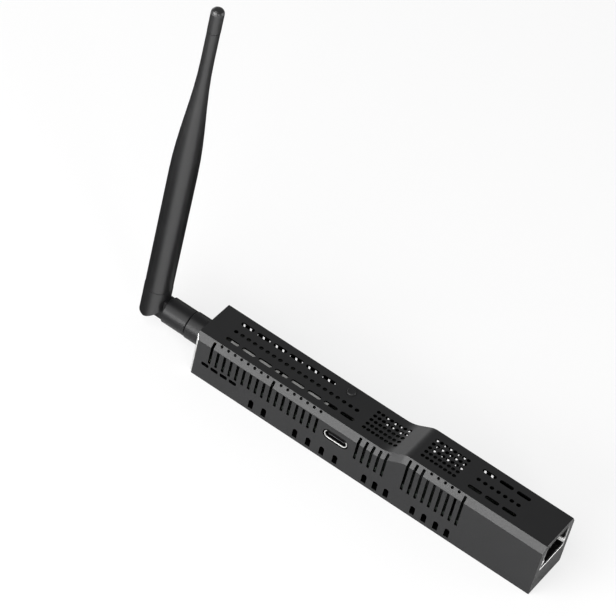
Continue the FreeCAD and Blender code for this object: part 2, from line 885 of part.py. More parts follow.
def make_jack():
    """The network socket: thin sheet shield with side springs, plastic body and eight contacts."""
    front = head_x - wall
    back = front - jack_depth
    half = jack_width / 2.0
    foot = board_top
    top = board_top + jack_height
    nose_low, nose_high = jack_nose_limits()
    nose_half = jack_nose_width / 2.0
    rim = jack_sheet
    outside = joined([
        box(back, front, -half, half, foot, top),
        box(front - rim, head_x, -nose_half, nose_half, nose_low, nose_high),
    ])
    hollow = joined([
        box(back + rim, front - rim, -half + rim, half - rim, foot - hole_overrun, top - rim),
        box(
            front - rim - hole_overrun,
            head_x + hole_overrun,
            -nose_half + rim,
            nose_half - rim,
            nose_low + rim,
            nose_high - rim,
        ),
    ])
    spring_low = board_top + jack_nose_margin + jack_mouth_sill + jack_spring_from_floor
    spring_high = spring_low + jack_spring_height
    mouth_half = jack_mouth_width / 2.0
    fold = jack_face_setback - jack_body_gap
    springs = []
    for side in (-1.0, 1.0):
        root_y = side * mouth_half
        y_low, y_high = sorted((root_y, side * (nose_half - rim / 2.0)))
        springs.append(box(head_x - fold, head_x, y_low, y_high, spring_low, spring_high))
        outline = [
            vec(head_x, root_y, spring_low),
            vec(head_x, root_y + side * rim, spring_low),
            vec(head_x - jack_spring_length, root_y, spring_low),
            vec(head_x - jack_spring_length / 2.0, root_y - side * jack_spring_bulge, spring_low),
        ]
        springs.append(drawn_out(outline, vec(0, 0, jack_spring_height)))
    nodes["jack_shield"] = joined([outside.cut(hollow)] + springs)

    gap = rim + jack_body_gap
    body = joined([
        box(back + gap, front - gap, -half + gap, half - gap, foot, top - gap),
        box(
            front - gap,
            head_x - jack_face_setback,
            -nose_half + gap,
            nose_half - gap,
            nose_low + gap,
            nose_high - gap,
        ),
    ])
    body_mouth = jack_mouth(front - jack_mouth_depth, head_x + hole_overrun)
    spring_rooms = []
    for side in (-1.0, 1.0):
        y_low, y_high = sorted((side * (mouth_half - hole_overrun), side * (mouth_half + gap)))
        room_start = head_x - jack_spring_length - gap
        room_end = head_x + hole_overrun
        spring_rooms.append(box(room_start, room_end, y_low, y_high, spring_low - gap, spring_high + gap))
    sill = board_top + jack_nose_margin + jack_mouth_sill
    contact_back = front - jack_contact_front - jack_contact_length
    grooves = []
    contacts = []
    for index in range(jack_contact_count):
        y = (index - (jack_contact_count - 1) / 2.0) * jack_contact_pitch
        thin = jack_contact_thickness
        low = sill - thin
        outline = [
            vec(front - jack_contact_front, y - thin / 2.0, low),
            vec(front - jack_contact_front, y - thin / 2.0, sill),
            vec(contact_back, y - thin / 2.0, sill + jack_contact_rise),
            vec(contact_back - thin, y - thin / 2.0, sill + jack_contact_rise),
            vec(contact_back - thin, y - thin / 2.0, low),
            vec(front - jack_contact_front, y - thin / 2.0, low),
        ]
        contacts.append(Part.Face(Part.makePolygon(outline)).extrude(vec(0, thin, 0)))
        grooves.append(box(
            contact_back - thin - jack_body_gap,
            front - jack_contact_front + jack_body_gap,
            y - thin / 2.0 - jack_body_gap,
            y + thin / 2.0 + jack_body_gap,
            low,
            sill + jack_body_gap,
        ))
    body = body.cut(joined([body_mouth] + spring_rooms + grooves))
    nodes["jack_body"] = body.removeSplitter()
    nodes["jack_contacts"] = Part.makeCompound(contacts)


# USB socket


def make_usb():
    """The USB socket: drawn sheet shell, plastic base with its tongue, and contact strips."""
    x, z = usb_middle()
    front = -half_width + usb_face_recess
    back = front + usb_depth
    outer = rounded_bar(x, z, usb_width, usb_height, front, back)
    inner_width = usb_width - 2.0 * usb_sheet
    inner_height = usb_height - 2.0 * usb_sheet
    hollow = rounded_bar(x, z, inner_width, inner_height, front - hole_overrun, back + hole_overrun)
    nodes["usb_shell"] = outer.cut(hollow)
    base = rounded_bar(x, z, inner_width, inner_height, back - usb_base_depth, back)
    half = usb_tongue_width / 2.0
    thick = usb_tongue_thickness / 2.0
    tongue = box(x - half, x + half, front + usb_tongue_setback, back - usb_base_depth, z - thick, z + thick)
    nodes["usb_tongue"] = joined([base, tongue])
    foot = board_top
    pads = [middle_box((usb_width - usb_height, usb_sheet * 4.0, usb_lift), x, back - usb_sheet * 2.0, foot)]
    nodes["usb_solder_pad"] = Part.makeCompound(pads)


# Antenna socket


def make_antenna_socket():
    """The threaded antenna socket: flange, barrel, four legs that grip the board, core and pin."""
    inside = tail_x + wall
    outward = vec(-1, 0, 0)
    flange_half = socket_flange_size / 2.0
    flange = box(
        inside,
        inside + socket_flange_thickness,
        -flange_half,
        flange_half,
        axis_height - flange_half,
        axis_height + flange_half,
    )
    barrel_start = vec(inside + hole_overrun, 0, axis_height)
    barrel = rod_along(barrel_start, outward, barrel_radius, hole_overrun + wall + barrel_reach)
    legs = []
    leg_start = inside + socket_flange_thickness - hole_overrun
    leg_end = tail_x + wall + board_tail_gap + socket_leg_length
    for side in (-1.0, 1.0):
        y = side * socket_leg_offset
        y_low = y - socket_leg_size / 2.0
        y_high = y + socket_leg_size / 2.0
        legs.append(box(leg_start, leg_end, y_low, y_high, board_top, board_top + socket_leg_size))
        legs.append(box(leg_start, leg_end, y_low, y_high, board_bottom - socket_leg_size, board_bottom))
    solid = joined([flange, barrel] + legs)
    bore_length = socket_flange_thickness + wall + barrel_reach
    bore_start = vec(inside + socket_flange_thickness, 0, axis_height)
    bore = rod_along(bore_start, outward, socket_bore_radius, bore_length + hole_overrun)
    nodes["antenna_socket"] = solid.cut(bore)
    core_length = bore_length - hole_overrun
    core = rod_along(bore_start, outward, socket_bore_radius, core_length)
    pin_start = vec(tail_x + wall + board_tail_gap, 0, axis_height)
    pin_length = board_tail_gap - socket_flange_thickness + core_length
    pin = rod_along(pin_start, outward, socket_pin_radius, pin_length)
    nodes["socket_core"] = core.cut(pin)
    nodes["socket_pin"] = pin


# Antenna


def make_nut():
    """The coupling nut over the socket's barrel, with an inward end wall."""
    start = vec(tail_x - nut_house_gap, 0, axis_height)
    bevel = nut_edge_bevel
    bore = barrel_radius + nut_thread_gap
    neck = ferrule_neck_radius + ferrule_neck_gap
    outline = [
        (0.0, bore),
        (0.0, nut_radius - bevel),
        (bevel, nut_radius),
        (nut_length - bevel, nut_radius),
        (nut_length, nut_radius - bevel),
        (nut_length, neck),
        (nut_length - nut_end_wall, neck),
        (nut_length - nut_end_wall, bore),
    ]
    nodes["coupling_nut"] = turned(outline, start, vec(-1, 0, 0))


def make_swivel():
    """The turning collar with its hinge tongue, and the brass ferrule that holds it in the nut."""
    nut_end = tail_x - nut_house_gap - nut_length
    collar_start = nut_end - swivel_gap
    collar_end = hinge_x + fork_radius + fork_collar_gap
    length = collar_start - collar_end
    start = vec(collar_start, 0, axis_height)
    bevel = collar_edge_bevel
    outline = [
        (0.0, 0.0),
        (0.0, collar_radius - bevel),
        (bevel, collar_radius),
        (length - bevel, collar_radius),
        (length, collar_radius - bevel),
        (length, 0.0),
    ]
    collar = turned(outline, start, vec(-1, 0, 0))
    half = tongue_thickness / 2.0
    root_x = collar_end + hole_overrun
    plate = box(hinge_x, root_x, -half, half, axis_height - tongue_radius, axis_height + tongue_radius)
    nose = rod_along(vec(hinge_x, -half, axis_height), vec(0, 1, 0), tongue_radius, tongue_thickness)
    boss_start = vec(hinge_x, -half - boss_reach, axis_height)
    bosses = rod_along(boss_start, vec(0, 1, 0), boss_radius, tongue_thickness + 2.0 * boss_reach)
    solid = joined([collar, plate, nose, bosses])
    grip = rod_along(start, vec(-1, 0, 0), ferrule_neck_radius, ferrule_grip)
    nodes["antenna_swivel"] = solid.cut(grip)
    flange_face = nut_end + nut_end_wall + swivel_gap
    ferrule_start = vec(flange_face + ferrule_flange_thickness, 0, axis_height)
    neck_end = flange_face + ferrule_flange_thickness - (collar_start - ferrule_grip)
    ferrule_outline = [
        (0.0, ferrule_bore_radius),
        (0.0, ferrule_flange_radius),
        (ferrule_flange_thickness, ferrule_flange_radius),
        (ferrule_flange_thickness, ferrule_neck_radius),
        (neck_end, ferrule_neck_radius),
        (neck_end, ferrule_bore_radius),
    ]
    nodes["swivel_ferrule"] = turned(ferrule_outline, ferrule_start, vec(-1, 0, 0))


def fork_side_view():
    """The fork seen from the near side: square below, and rounded away towards the collar."""
    reach = fork_radius + hole_overrun
    y = -reach

    def at(across, up):
        return vec(hinge_x + across, y, axis_height + up)

    ear = fork_ear_reach * math.sqrt(2.0) / 2.0
    corners = [
        at(fork_radius, fork_ear_top),
        at(reach, fork_height),
        at(-reach, fork_height),
        at(-reach, -fork_foot_drop + fork_foot_bevel),
        at(-fork_radius, -fork_foot_drop + fork_foot_bevel),
        at(-fork_radius + fork_foot_bevel, -fork_foot_drop),
        at(-fork_foot_flat, -fork_foot_drop),
    ]
    edges = [Part.LineSegment(a, b).toShape() for a, b in zip(corners[:-1], corners[1:])]
    edges.append(Part.Arc(corners[-1], at(ear, -ear), corners[0]).toShape())
    return Part.Face(Part.Wire(edges)).extrude(vec(0, 2.0 * reach, 0))


def make_fork():
    """The rod's foot: a fork with a slot for the tongue, blind boss sockets and a spigot."""
    low = vec(hinge_x, 0, axis_height - fork_foot_drop)
    shank = rod_along(low, vec(0, 0, 1), fork_radius, fork_foot_drop + fork_height)
    spigot_start = vec(hinge_x, 0, axis_height + fork_height)
    spigot = rod_along(spigot_start, vec(0, 0, 1), fork_spigot_radius, fork_spigot_height)
    solid = joined([shank.common(fork_side_view()), spigot])
    slot_half = tongue_thickness / 2.0 + tongue_side_gap
    reach = fork_radius + hole_overrun
    slot_top = axis_height + tongue_radius + fork_tongue_gap
    slot = box(hinge_x - reach, hinge_x + reach, -slot_half, slot_half, axis_height - reach, slot_top)
    socket_half = tongue_thickness / 2.0 + boss_reach + boss_end_gap
    socket_start = vec(hinge_x, -socket_half, axis_height)
    sockets = rod_along(socket_start, vec(0, 1, 0), boss_radius + boss_socket_gap, 2.0 * socket_half)
    nodes["rod_fork"] = solid.cut(slot).cut(sockets)


def make_sleeve():
    """The moulded sleeve of the rod, hollow over the fork's spigot and the radiator."""
    foot = fork_height + sleeve_seam_gap
    base = vec(hinge_x, 0, axis_height)

    def at(height, radius):
        return base + vec(radius, 0, height)

    # The taper is a chain of short cones on an S-shaped line
    taper = []
    for index in range(taper_steps + 1):
        share = index / taper_steps
        radius = neck_radius + (rod_radius - neck_radius) * (1.0 + math.cos(math.pi * share)) / 2.0
        taper.append(at(taper_start + (taper_end - taper_start) * share, radius))
    bore = fork_spigot_radius + sleeve_spigot_gap
    neck_bore = neck_radius - sleeve_wall
    bore_step = taper_start + (taper_end - taper_start) / 4.0
    outside = [at(foot, bore), at(foot, rod_radius)] + taper + [at(sleeve_top, neck_radius)]
    inside = [at(sleeve_top, neck_bore), at(taper_end, neck_bore), at(bore_step, bore)]
    corners = outside + inside
    section = Part.Face(Part.makePolygon(corners + corners[:1]))
    nodes["rod_sleeve"] = section.revolve(base, vec(0, 0, 1), 360)


def make_radiator():
    """The brass radiator that stands on the fork's spigot: a tube and a thin upper wire."""
    foot = fork_height + fork_spigot_height
    wire_top = sleeve_top - cap_spigot_depth - radiator_top_gap
    outline = [
        (foot, 0.0),
        (foot, radiator_tube_radius),
        (foot + radiator_tube_height, radiator_tube_radius),
        (foot + radiator_tube_height, radiator_wire_radius),
        (wire_top, radiator_wire_radius),
        (wire_top, 0.0),
    ]
    nodes["rod_radiator"] = turned(outline, vec(hinge_x, 0, axis_height), vec(0, 0, 1))


def make_cap():
    """The rounded end cap with a fine groove at its seam and a spigot into the sleeve."""
    foot = sleeve_top + sleeve_seam_gap
    top = foot + cap_height
    outline = [
        (foot - cap_spigot_depth, 0.0),
        (foot - cap_spigot_depth, cap_spigot_radius),
        (foot, cap_spigot_radius),
        (foot, cap_radius - cap_groove),
        (foot + cap_groove, cap_radius),
    ]
    for index in range(cap_end_steps + 1):
        angle = math.pi / 2.0 * index / cap_end_steps
        height = top - cap_end_round + cap_end_round * math.sin(angle)
        outline.append((height, cap_radius - cap_end_round + cap_end_round * math.cos(angle)))
    outline.append((top, 0.0))
    nodes["rod_cap"] = turned(outline, vec(hinge_x, 0, axis_height), vec(0, 0, 1))


def main():
    """Make every node and write it out."""
    make_housing()
    make_cover()
    make_screws()
    make_board()
    make_module("radio", module_from_tail, radio_module_length)
    processor_from_tail = module_from_tail + radio_module_length + module_gap
    make_module("processor", processor_from_tail, processor_module_length)
    make_board_parts()
    make_button()
    make_jack()
    make_usb()
    make_antenna_socket()
    make_nut()
    make_swivel()
    make_fork()
    make_sleeve()
    make_radiator()
    make_cap()
    os.makedirs("parts", exist_ok=True)
    for name, shape in nodes.items():
        shape.exportStep(os.path.join("parts", name + ".step"))
        print(name, len(shape.Solids), round(shape.Volume, 2), shape.isValid())


main()
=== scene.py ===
"""Looks of a slim network radio adapter: a perforated housing with a folding, turning rod antenna.

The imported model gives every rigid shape. This script dresses each of its nodes, replaces the few whose
small forms show up close, and sets the floor, the soft light and the camera. All lengths are in metres.
"""
from __future__ import annotations

import json
import logging
import math
from contextlib import contextmanager
from dataclasses import dataclass
from enum import Enum
from typing import Callable, Iterator, Optional, Sequence, Union

import bmesh
import bpy
from mathutils import Matrix, Vector

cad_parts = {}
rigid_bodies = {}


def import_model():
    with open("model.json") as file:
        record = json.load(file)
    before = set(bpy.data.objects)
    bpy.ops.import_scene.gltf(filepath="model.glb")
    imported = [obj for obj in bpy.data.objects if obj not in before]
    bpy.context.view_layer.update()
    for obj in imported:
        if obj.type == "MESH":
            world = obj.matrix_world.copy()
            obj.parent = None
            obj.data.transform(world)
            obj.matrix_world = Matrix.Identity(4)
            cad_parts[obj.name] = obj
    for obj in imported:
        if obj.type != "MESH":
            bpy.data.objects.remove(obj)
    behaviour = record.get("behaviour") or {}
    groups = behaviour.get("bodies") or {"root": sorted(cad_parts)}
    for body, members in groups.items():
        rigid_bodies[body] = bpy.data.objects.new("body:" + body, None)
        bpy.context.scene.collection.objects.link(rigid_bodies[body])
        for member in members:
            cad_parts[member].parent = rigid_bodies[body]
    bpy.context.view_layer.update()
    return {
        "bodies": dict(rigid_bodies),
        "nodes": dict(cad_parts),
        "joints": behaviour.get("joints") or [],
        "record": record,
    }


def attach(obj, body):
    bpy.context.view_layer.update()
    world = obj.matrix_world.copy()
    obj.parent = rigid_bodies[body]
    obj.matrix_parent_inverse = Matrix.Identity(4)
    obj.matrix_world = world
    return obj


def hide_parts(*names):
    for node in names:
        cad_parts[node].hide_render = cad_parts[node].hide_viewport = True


MM = 0.001
Pair = tuple[float, float]
Triple = tuple[float, float, float]
Colour = Triple
Spots = Sequence[Pair]
Piece = bpy.types.Object
log = logging.getLogger("adapter")


def operator(operation: str, swapped: bool = False) -> Callable[["Wire", "Value"], "Wire"]:
    """A method that joins a wire and another value with a Math node.

    Args:
        operation: The node's operation.
        swapped: Whether the other value comes first.

    Returns:
        The method.
    """
    def method(self: "Wire", other: "Value") -> "Wire":
        """The Math node's result."""
        values = (other, self) if swapped else (self, other)
        return self.graph.maths(operation, *values)

    return method


class Wire:
    """One output of a shader node, with plain arithmetic for values."""

    def __init__(self, graph: "Graph", socket: bpy.types.NodeSocket) -> None:
        """Wraps a socket of the graph's tree."""
        self.graph = graph
        self.socket = socket

    __add__ = operator("ADD")
    __radd__ = operator("ADD", swapped=True)
    __sub__ = operator("SUBTRACT")
    __rsub__ = operator("SUBTRACT", swapped=True)
    __mul__ = operator("MULTIPLY")
    __rmul__ = operator("MULTIPLY", swapped=True)
    __truediv__ = operator("DIVIDE")
    __pow__ = operator("POWER")
    __gt__ = operator("GREATER_THAN")


Value = Union[Wire, float]


class Graph:
    """The node tree of one material."""

    def __init__(self, name: str) -> None:
        """Makes the material and clears its tree."""
        self.material = bpy.data.materials.new(name)
        self.material.use_nodes = True
        self.tree = self.material.node_tree
        self.tree.nodes.clear()

    def add(
        self,
        kind: str,
        settings: Optional[dict[str, object]] = None,
        inputs: Optional[dict[Union[int, str], object]] = None,
        output: Union[int, str] = 0,
    ) -> Optional[Wire]:
        """Adds any node.

        Args:
            kind: The node's type.
            settings: Its properties, set first; "stops" are a ramp's (place, colour) pairs.
            inputs: Values or wires, by socket number or name.
            output: The output that is wanted.

        Returns:
            That output, or None where the node has no output.
        """
        node = self.tree.nodes.new(kind)
        for key, value in (settings or {}).items():
            if key == "stops":
                self._set_stops(node, value)
            else:
                setattr(node, key, value)
        for key, value in (inputs or {}).items():
            if isinstance(value, Wire):
                self.tree.links.new(value.socket, node.inputs[key])
            else:
                node.inputs[key].default_value = value
        return Wire(self, node.outputs[output]) if len(node.outputs) else None

    def _set_stops(self, node: bpy.types.Node, stops: Sequence[tuple[float, Colour]]) -> None:
        """Gives a colour ramp its stops."""
        elements = node.color_ramp.elements
        while len(elements) > 1:
            elements.remove(elements[-1])
        for index, (place, colour) in enumerate(stops):
            element = elements[0] if index == 0 else elements.new(place)
            element.position = place
            element.color = (*colour, 1.0)

    def maths(self, operation: str, *values: Value) -> Wire:
        """Adds a Math node."""
        return self.add("ShaderNodeMath", {"operation": operation}, dict(enumerate(values)))

    def place(self) -> Wire:
        """The point on the object, in metres."""
        return self.add("ShaderNodeTexCoord", output="Object")

    def part(self, vector: Wire, axis: str) -> Wire:
        """One part of a vector: X, Y or Z."""
        return self.add("ShaderNodeSeparateXYZ", inputs={0: vector}, output=axis)

    def stretched(self, scale: Triple) -> Wire:
        """The point on the object, scaled along each axis."""
        inputs = {"Vector": self.place(), "Scale": scale}
        return self.add("ShaderNodeMapping", {"vector_type": "POINT"}, inputs)

    def noise(self, vector: Wire, scale: float, detail: float = 3.0, roughness: float = 0.5) -> Wire:
        """Smooth noise from 0 to 1."""
        return self.add(
            "ShaderNodeTexNoise",
            {"noise_dimensions": "3D"},
            {"Vector": vector, "Scale": scale, "Detail": detail, "Roughness": roughness},
            "Fac",
        )

    def cells(self, vector: Wire, scale: float) -> Wire:
        """The distance to the nearest point of a scattered set."""
        inputs = {"Vector": vector, "Scale": scale}
        return self.add("ShaderNodeTexVoronoi", {"feature": "F1"}, inputs, "Distance")

    def least(self, first: Value, *others: Value) -> Wire:
        """The smallest of some values."""
        result = first
        for other in others:
            result = self.maths("MINIMUM", result, other)
        return result

    def most(self, first: Value, second: Value) -> Wire:
        """The larger of two values."""
        return self.maths("MAXIMUM", first, second)

    def size_of(self, value: Wire) -> Wire:
        """A value without its sign."""
        return self.maths("ABSOLUTE", value)

    def held(self, value: Wire, most: float) -> Wire:
        """A value held between 0 and most."""
        return self.add("ShaderNodeClamp", inputs={"Value": value, "Min": 0.0, "Max": most})

    def between(self, value: Value, low: float, high: float) -> Wire:
        """A value from 0 to 1 carried to low to high."""
        return self.add("ShaderNodeMapRange", inputs={"Value": value, "To Min": low, "To Max": high})

    def step(self, value: Value, low: float, high: float) -> Wire:
        """0 below low, 1 above high and smooth between."""
        settings = {"interpolation_type": "SMOOTHSTEP"}
        return self.add("ShaderNodeMapRange", settings, {"Value": value, "From Min": low, "From Max": high})

    def blend(self, share: Value, first: Union[Wire, Colour], second: Union[Wire, Colour]) -> Wire:
        """A colour between two."""
        sides = [(*side, 1.0) if isinstance(side, tuple) else side for side in (first, second)]
        settings = {"data_type": "RGBA", "blend_type": "MIX"}
        return self.add("ShaderNodeMix", settings, {0: share, 6: sides[0], 7: sides[1]}, 2)

    def bump(self, height: Value, depth: float, strength: float = 1.0) -> Wire:
        """A normal from a height of 0 to 1 that stands for depth in metres."""
        return self.add("ShaderNodeBump", inputs={"Strength": strength, "Distance": depth, "Height": height})

    def surface(self, constants: dict[str, object], varying: dict[str, Wire]) -> Wire:
        """A surface shader, from values that are the same all over and what changes over the surface."""
        return self.add("ShaderNodeBsdfPrincipled", inputs={**constants, **varying})

    def finish(self, shader: Wire) -> bpy.types.Material:
        """Closes the tree with a shader and gives the material."""
        self.add("ShaderNodeOutputMaterial", inputs={"Surface": shader})
        return self.material


class Finish:
    """A procedural material. Each kind says what its surface is."""

    def make(self, name: str) -> bpy.types.Material:
        """The material.

        Args:
            name: What it is called.

        Returns:
            The material.
        """
        graph = Graph(name)
        return graph.finish(self.shader(graph))

    def shader(self, graph: Graph) -> Wire:
        """The surface in a graph."""
        raise NotImplementedError


@dataclass(frozen=True)
class MouldedPlastic(Finish):
    """Spark-textured plastic: fine grain, faint flow clouds and a little uneven sheen."""

    colour: Colour
    grain: float = 0.28 * MM
    grain_depth: float = 0.012 * MM
    roughness: float = 0.5
    sheen_change: float = 0.06
    cloud: float = 9.0 * MM
    cloud_change: float = 0.12
    specular: float = 0.5

    def shader(self, graph: Graph) -> Wire:
        """The surface in a graph."""
        place = graph.place()
        grain = graph.noise(place, 1.0 / self.grain, 2.0, 0.6)
        cloud = graph.noise(place, 1.0 / self.cloud, 4.0, 0.55)
        pale = tuple(min(1.0, part * (1.0 + self.cloud_change)) for part in self.colour)
        deep = tuple(part * (1.0 - self.cloud_change) for part in self.colour)
        colour = graph.blend(cloud, deep, pale)
        colour = graph.blend(graph.step(grain, 0.62, 0.8) * 0.35, colour, pale)
        low = self.roughness - self.sheen_change
        high = self.roughness + self.sheen_change
        rough = graph.between(cloud * 0.6 + grain * 0.4, low, high)
        normal = graph.bump(grain, self.grain_depth)
        varying = {"Base Color": colour, "Roughness": rough, "Normal": normal}
        return graph.surface({"Specular IOR Level": self.specular}, varying)


@dataclass(frozen=True)
class HousingForm:
    """The housing's outside, as its side view and its cross-section give it."""

    half_length: float = 68.0 * MM
    half_width: float = 9.7 * MM
    inner_half: float = 9.0 * MM
    low_top: float = 18.35 * MM
    high_top: float = 22.4 * MM
    ramp_foot: float = 4.0 * MM
    ramp_angle: float = math.radians(28.4)
    hollow_radius: float = 10.5 * MM
    crown_radius: float = 5.3 * MM
    bevel_across: float = 1.6 * MM
    bevel_down: float = 2.5 * MM

    @property
    def hollow_run(self) -> float:
        """How far the hollow arc reaches along the housing."""
        return self.hollow_radius * math.sin(self.ramp_angle)

    @property
    def crown_run(self) -> float:
        """How far the crown arc reaches along the housing."""
        return self.crown_radius * math.sin(self.ramp_angle)

    @property
    def straight_run(self) -> float:
        """How far the straight middle of the ramp reaches along the housing."""
        arcs = (self.hollow_radius + self.crown_radius) * (1.0 - math.cos(self.ramp_angle))
        return (self.high_top - self.low_top - arcs) / math.tan(self.ramp_angle)

    @property
    def ramp_end(self) -> float:
        """Where the raised top starts."""
        return self.ramp_foot + self.hollow_run + self.straight_run + self.crown_run

    @property
    def bevel_slant(self) -> float:
        """The length of the bevel's slope."""
        return math.hypot(self.bevel_across, self.bevel_down)

    def top_at(self, x: float) -> float:
        """The height of the top at one place along the housing."""
        hollow = min(max(x - self.ramp_foot, 0.0), self.hollow_run)
        straight = min(max(x - self.ramp_foot - self.hollow_run, 0.0), self.straight_run)
        crown = min(max(self.ramp_end - x, 0.0), self.crown_run)
        rise = self.hollow_radius - math.sqrt(self.hollow_radius ** 2 - hollow ** 2)
        rise += straight * math.tan(self.ramp_angle)
        rise += self.crown_radius * (1.0 - math.cos(self.ramp_angle)) - self.crown_radius
        rise += math.sqrt(self.crown_radius ** 2 - crown ** 2)
        return self.low_top + rise

    def lean_at(self, x: float) -> float:
        """The sine of the top's slope at one place along the housing."""
        hollow = min(max((x - self.ramp_foot) / self.hollow_radius, 0.0), math.sin(self.ramp_angle))
        crown = min(max((self.ramp_end - x) / self.crown_radius, 0.0), math.sin(self.ramp_angle))
        return min(hollow, crown)

    def normal_at(self, x: float, side: float) -> Vector:
        """The outward normal of the top, or of a bevel.

        Args:
            x: The place along the housing.
            side: 0 for the top, -1 for the near bevel and 1 for the far one.

        Returns:
            The normal, one long.
        """
        rise = self.lean_at(x)
        level = math.sqrt(1.0 - rise * rise)
        if not side:
            return Vector((-rise, 0.0, level))
        way = (-self.bevel_across * rise, side * self.bevel_down * level, self.bevel_across * level)
        return Vector(way).normalized()

    def top_wire(self, graph: Graph, x: Wire) -> Wire:
        """The same height in a material."""
        hollow = graph.held(x - self.ramp_foot, self.hollow_run)
        straight = graph.held(x - (self.ramp_foot + self.hollow_run), self.straight_run)
        crown = graph.held(self.ramp_end - x, self.crown_run)
        constant = self.low_top + self.hollow_radius - self.crown_radius * math.cos(self.ramp_angle)
        top = constant - (self.hollow_radius ** 2 - hollow * hollow) ** 0.5
        top = top + straight * math.tan(self.ramp_angle)
        return top + (self.crown_radius ** 2 - crown * crown) ** 0.5


@dataclass(frozen=True)
class HousingCoat(Finish):
    """The housing's matt black coat, with painted shade, near black, on all that lies under the outside, and
    bare bright tail corners and window edge; the window edge's upper part carries painted shade.

    How deep a point lies under the outside is read from the housing's form.
    """

    outside: MouldedPlastic
    form: HousingForm = HousingForm()
    # Painted shade: from these depths under the outside, the coat gives way to a near-black colour.
    skin: Pair = (0.03 * MM, 0.08 * MM)
    inside_painted_shade: Colour = (0.002, 0.002, 0.002)
    bare_corner: Pair = (0.93 * MM, 1.02 * MM)
    bare: Colour = (0.82, 0.82, 0.81)
    window_middle: float = 15.4 * MM
    window_half: Pair = (6.9 * MM, 5.15 * MM)
    window_frame: Pair = (0.42 * MM, 0.52 * MM)
    # Painted shade over the window edge's upper part: from these heights on, this share of the bare edge
    # gives way to the black coat.
    frame_painted_shade_heights: Pair = (16.5 * MM, 19.5 * MM)
    frame_painted_shade_share: float = 0.85
    frame_depth: float = 0.7 * MM

    def depth(self, graph: Graph, x: Wire, y: Wire, z: Wire) -> Wire:
        """How far a point lies under the outside, in metres."""
        form = self.form
        from_side = form.half_width - graph.size_of(y)
        from_top = form.top_wire(graph, x) - z
        side_share = form.bevel_down / form.bevel_slant
        down_share = form.bevel_across / form.bevel_slant
        from_bevel = from_side * side_share + (from_top - form.bevel_down) * down_share
        from_end = form.half_length - graph.size_of(x)
        return graph.least(from_side, from_top, from_bevel, from_end)

    def shader(self, graph: Graph) -> Wire:
        """The surface in a graph."""
        place = graph.place()
        x, y, z = (graph.part(place, axis) for axis in ("X", "Y", "Z"))
        coat = self.outside.shader(graph)
        scratch = graph.noise(graph.stretched((700.0, 700.0, 90.0)), 1.0, 4.0, 0.6)
        metal = graph.surface({"Metallic": 1.0, "Base Color": (*self.bare, 1.0)}, {
            "Roughness": graph.between(scratch, 0.22, 0.4),
        })
        from_corner = self.form.half_length + x + self.form.half_width - graph.size_of(y)
        corner = 1.0 - graph.step(from_corner, *self.bare_corner)
        beside = graph.most(graph.size_of(y) - self.window_half[0],
                            graph.size_of(z - self.window_middle) - self.window_half[1])
        frame = 1.0 - graph.step(beside, *self.window_frame)
        frame = frame * (x > self.form.half_length - self.frame_depth)
        # Painted shade: high up, most of the window's bare edge gives way to the black coat.
        frame = frame * (1.0 - graph.step(z, *self.frame_painted_shade_heights) * self.frame_painted_shade_share)
        # Painted shade: the openings' walls and everything under the outside are painted near black.
        dark = graph.add("ShaderNodeBsdfDiffuse", inputs={"Color": (*self.inside_painted_shade, 1.0)})
        share = graph.step(self.depth(graph, x, y, z), *self.skin)
        shell = graph.add("ShaderNodeMixShader", inputs={0: share, 1: coat, 2: dark})
        bare = graph.most(corner, frame)
        return graph.add("ShaderNodeMixShader", inputs={0: bare, 1: shell, 2: metal})


@dataclass(frozen=True)
class SheetMetal(Finish):
    """Plated or drawn sheet: fine lines along one axis and faint stains.

    A can's lid, all above shaded_below, is bright but for painted shade over its middle and its tail end. The
    rest is dark, painted shade as well.
    """

    colour: Colour
    roughness: float = 0.3
    along: Triple = (60.0, 2400.0, 2400.0)
    line_depth: float = 0.004 * MM
    stain: float = 3.0 * MM
    stain_change: float = 0.12
    metallic: float = 1.0
    shaded_below: Optional[float] = None
    lid_painted_shade_middle: Pair = (2.4 * MM, 2.8 * MM)
    lid_painted_shade_tail: Pair = (-58.2 * MM, -57.8 * MM)
    lid_painted_shade_colour: Colour = (0.012, 0.012, 0.012)

    def shader(self, graph: Graph) -> Wire:
        """The surface in a graph."""
        lines = graph.noise(graph.stretched(self.along), 1.0, 4.0, 0.6)
        stain = graph.noise(graph.place(), 1.0 / self.stain, 5.0, 0.6)
        dull = tuple(part * (1.0 - self.stain_change) for part in self.colour)
        colour = graph.blend(graph.step(stain, 0.35, 0.75), self.colour, dull)
        # Painted shade: the can's sides, and its lid's middle and tail end, are painted near black.
        if self.shaded_below is not None:
            height = graph.part(graph.place(), "Z")
            lid = graph.step(height, self.shaded_below - 0.1 * MM, self.shaded_below)
            across = graph.size_of(graph.part(graph.place(), "Y"))
            lid = lid * graph.step(across, *self.lid_painted_shade_middle)
            lid = lid * graph.step(graph.part(graph.place(), "X"), *self.lid_painted_shade_tail)
            colour = graph.blend(lid, self.lid_painted_shade_colour, colour)
        rough = graph.between(lines * 0.5 + stain * 0.5, self.roughness * 0.7, self.roughness * 1.4)
        normal = graph.bump(lines, self.line_depth)
        varying = {"Base Color": colour, "Roughness": rough, "Normal": normal}
        return graph.surface({"Metallic": self.metallic}, varying)


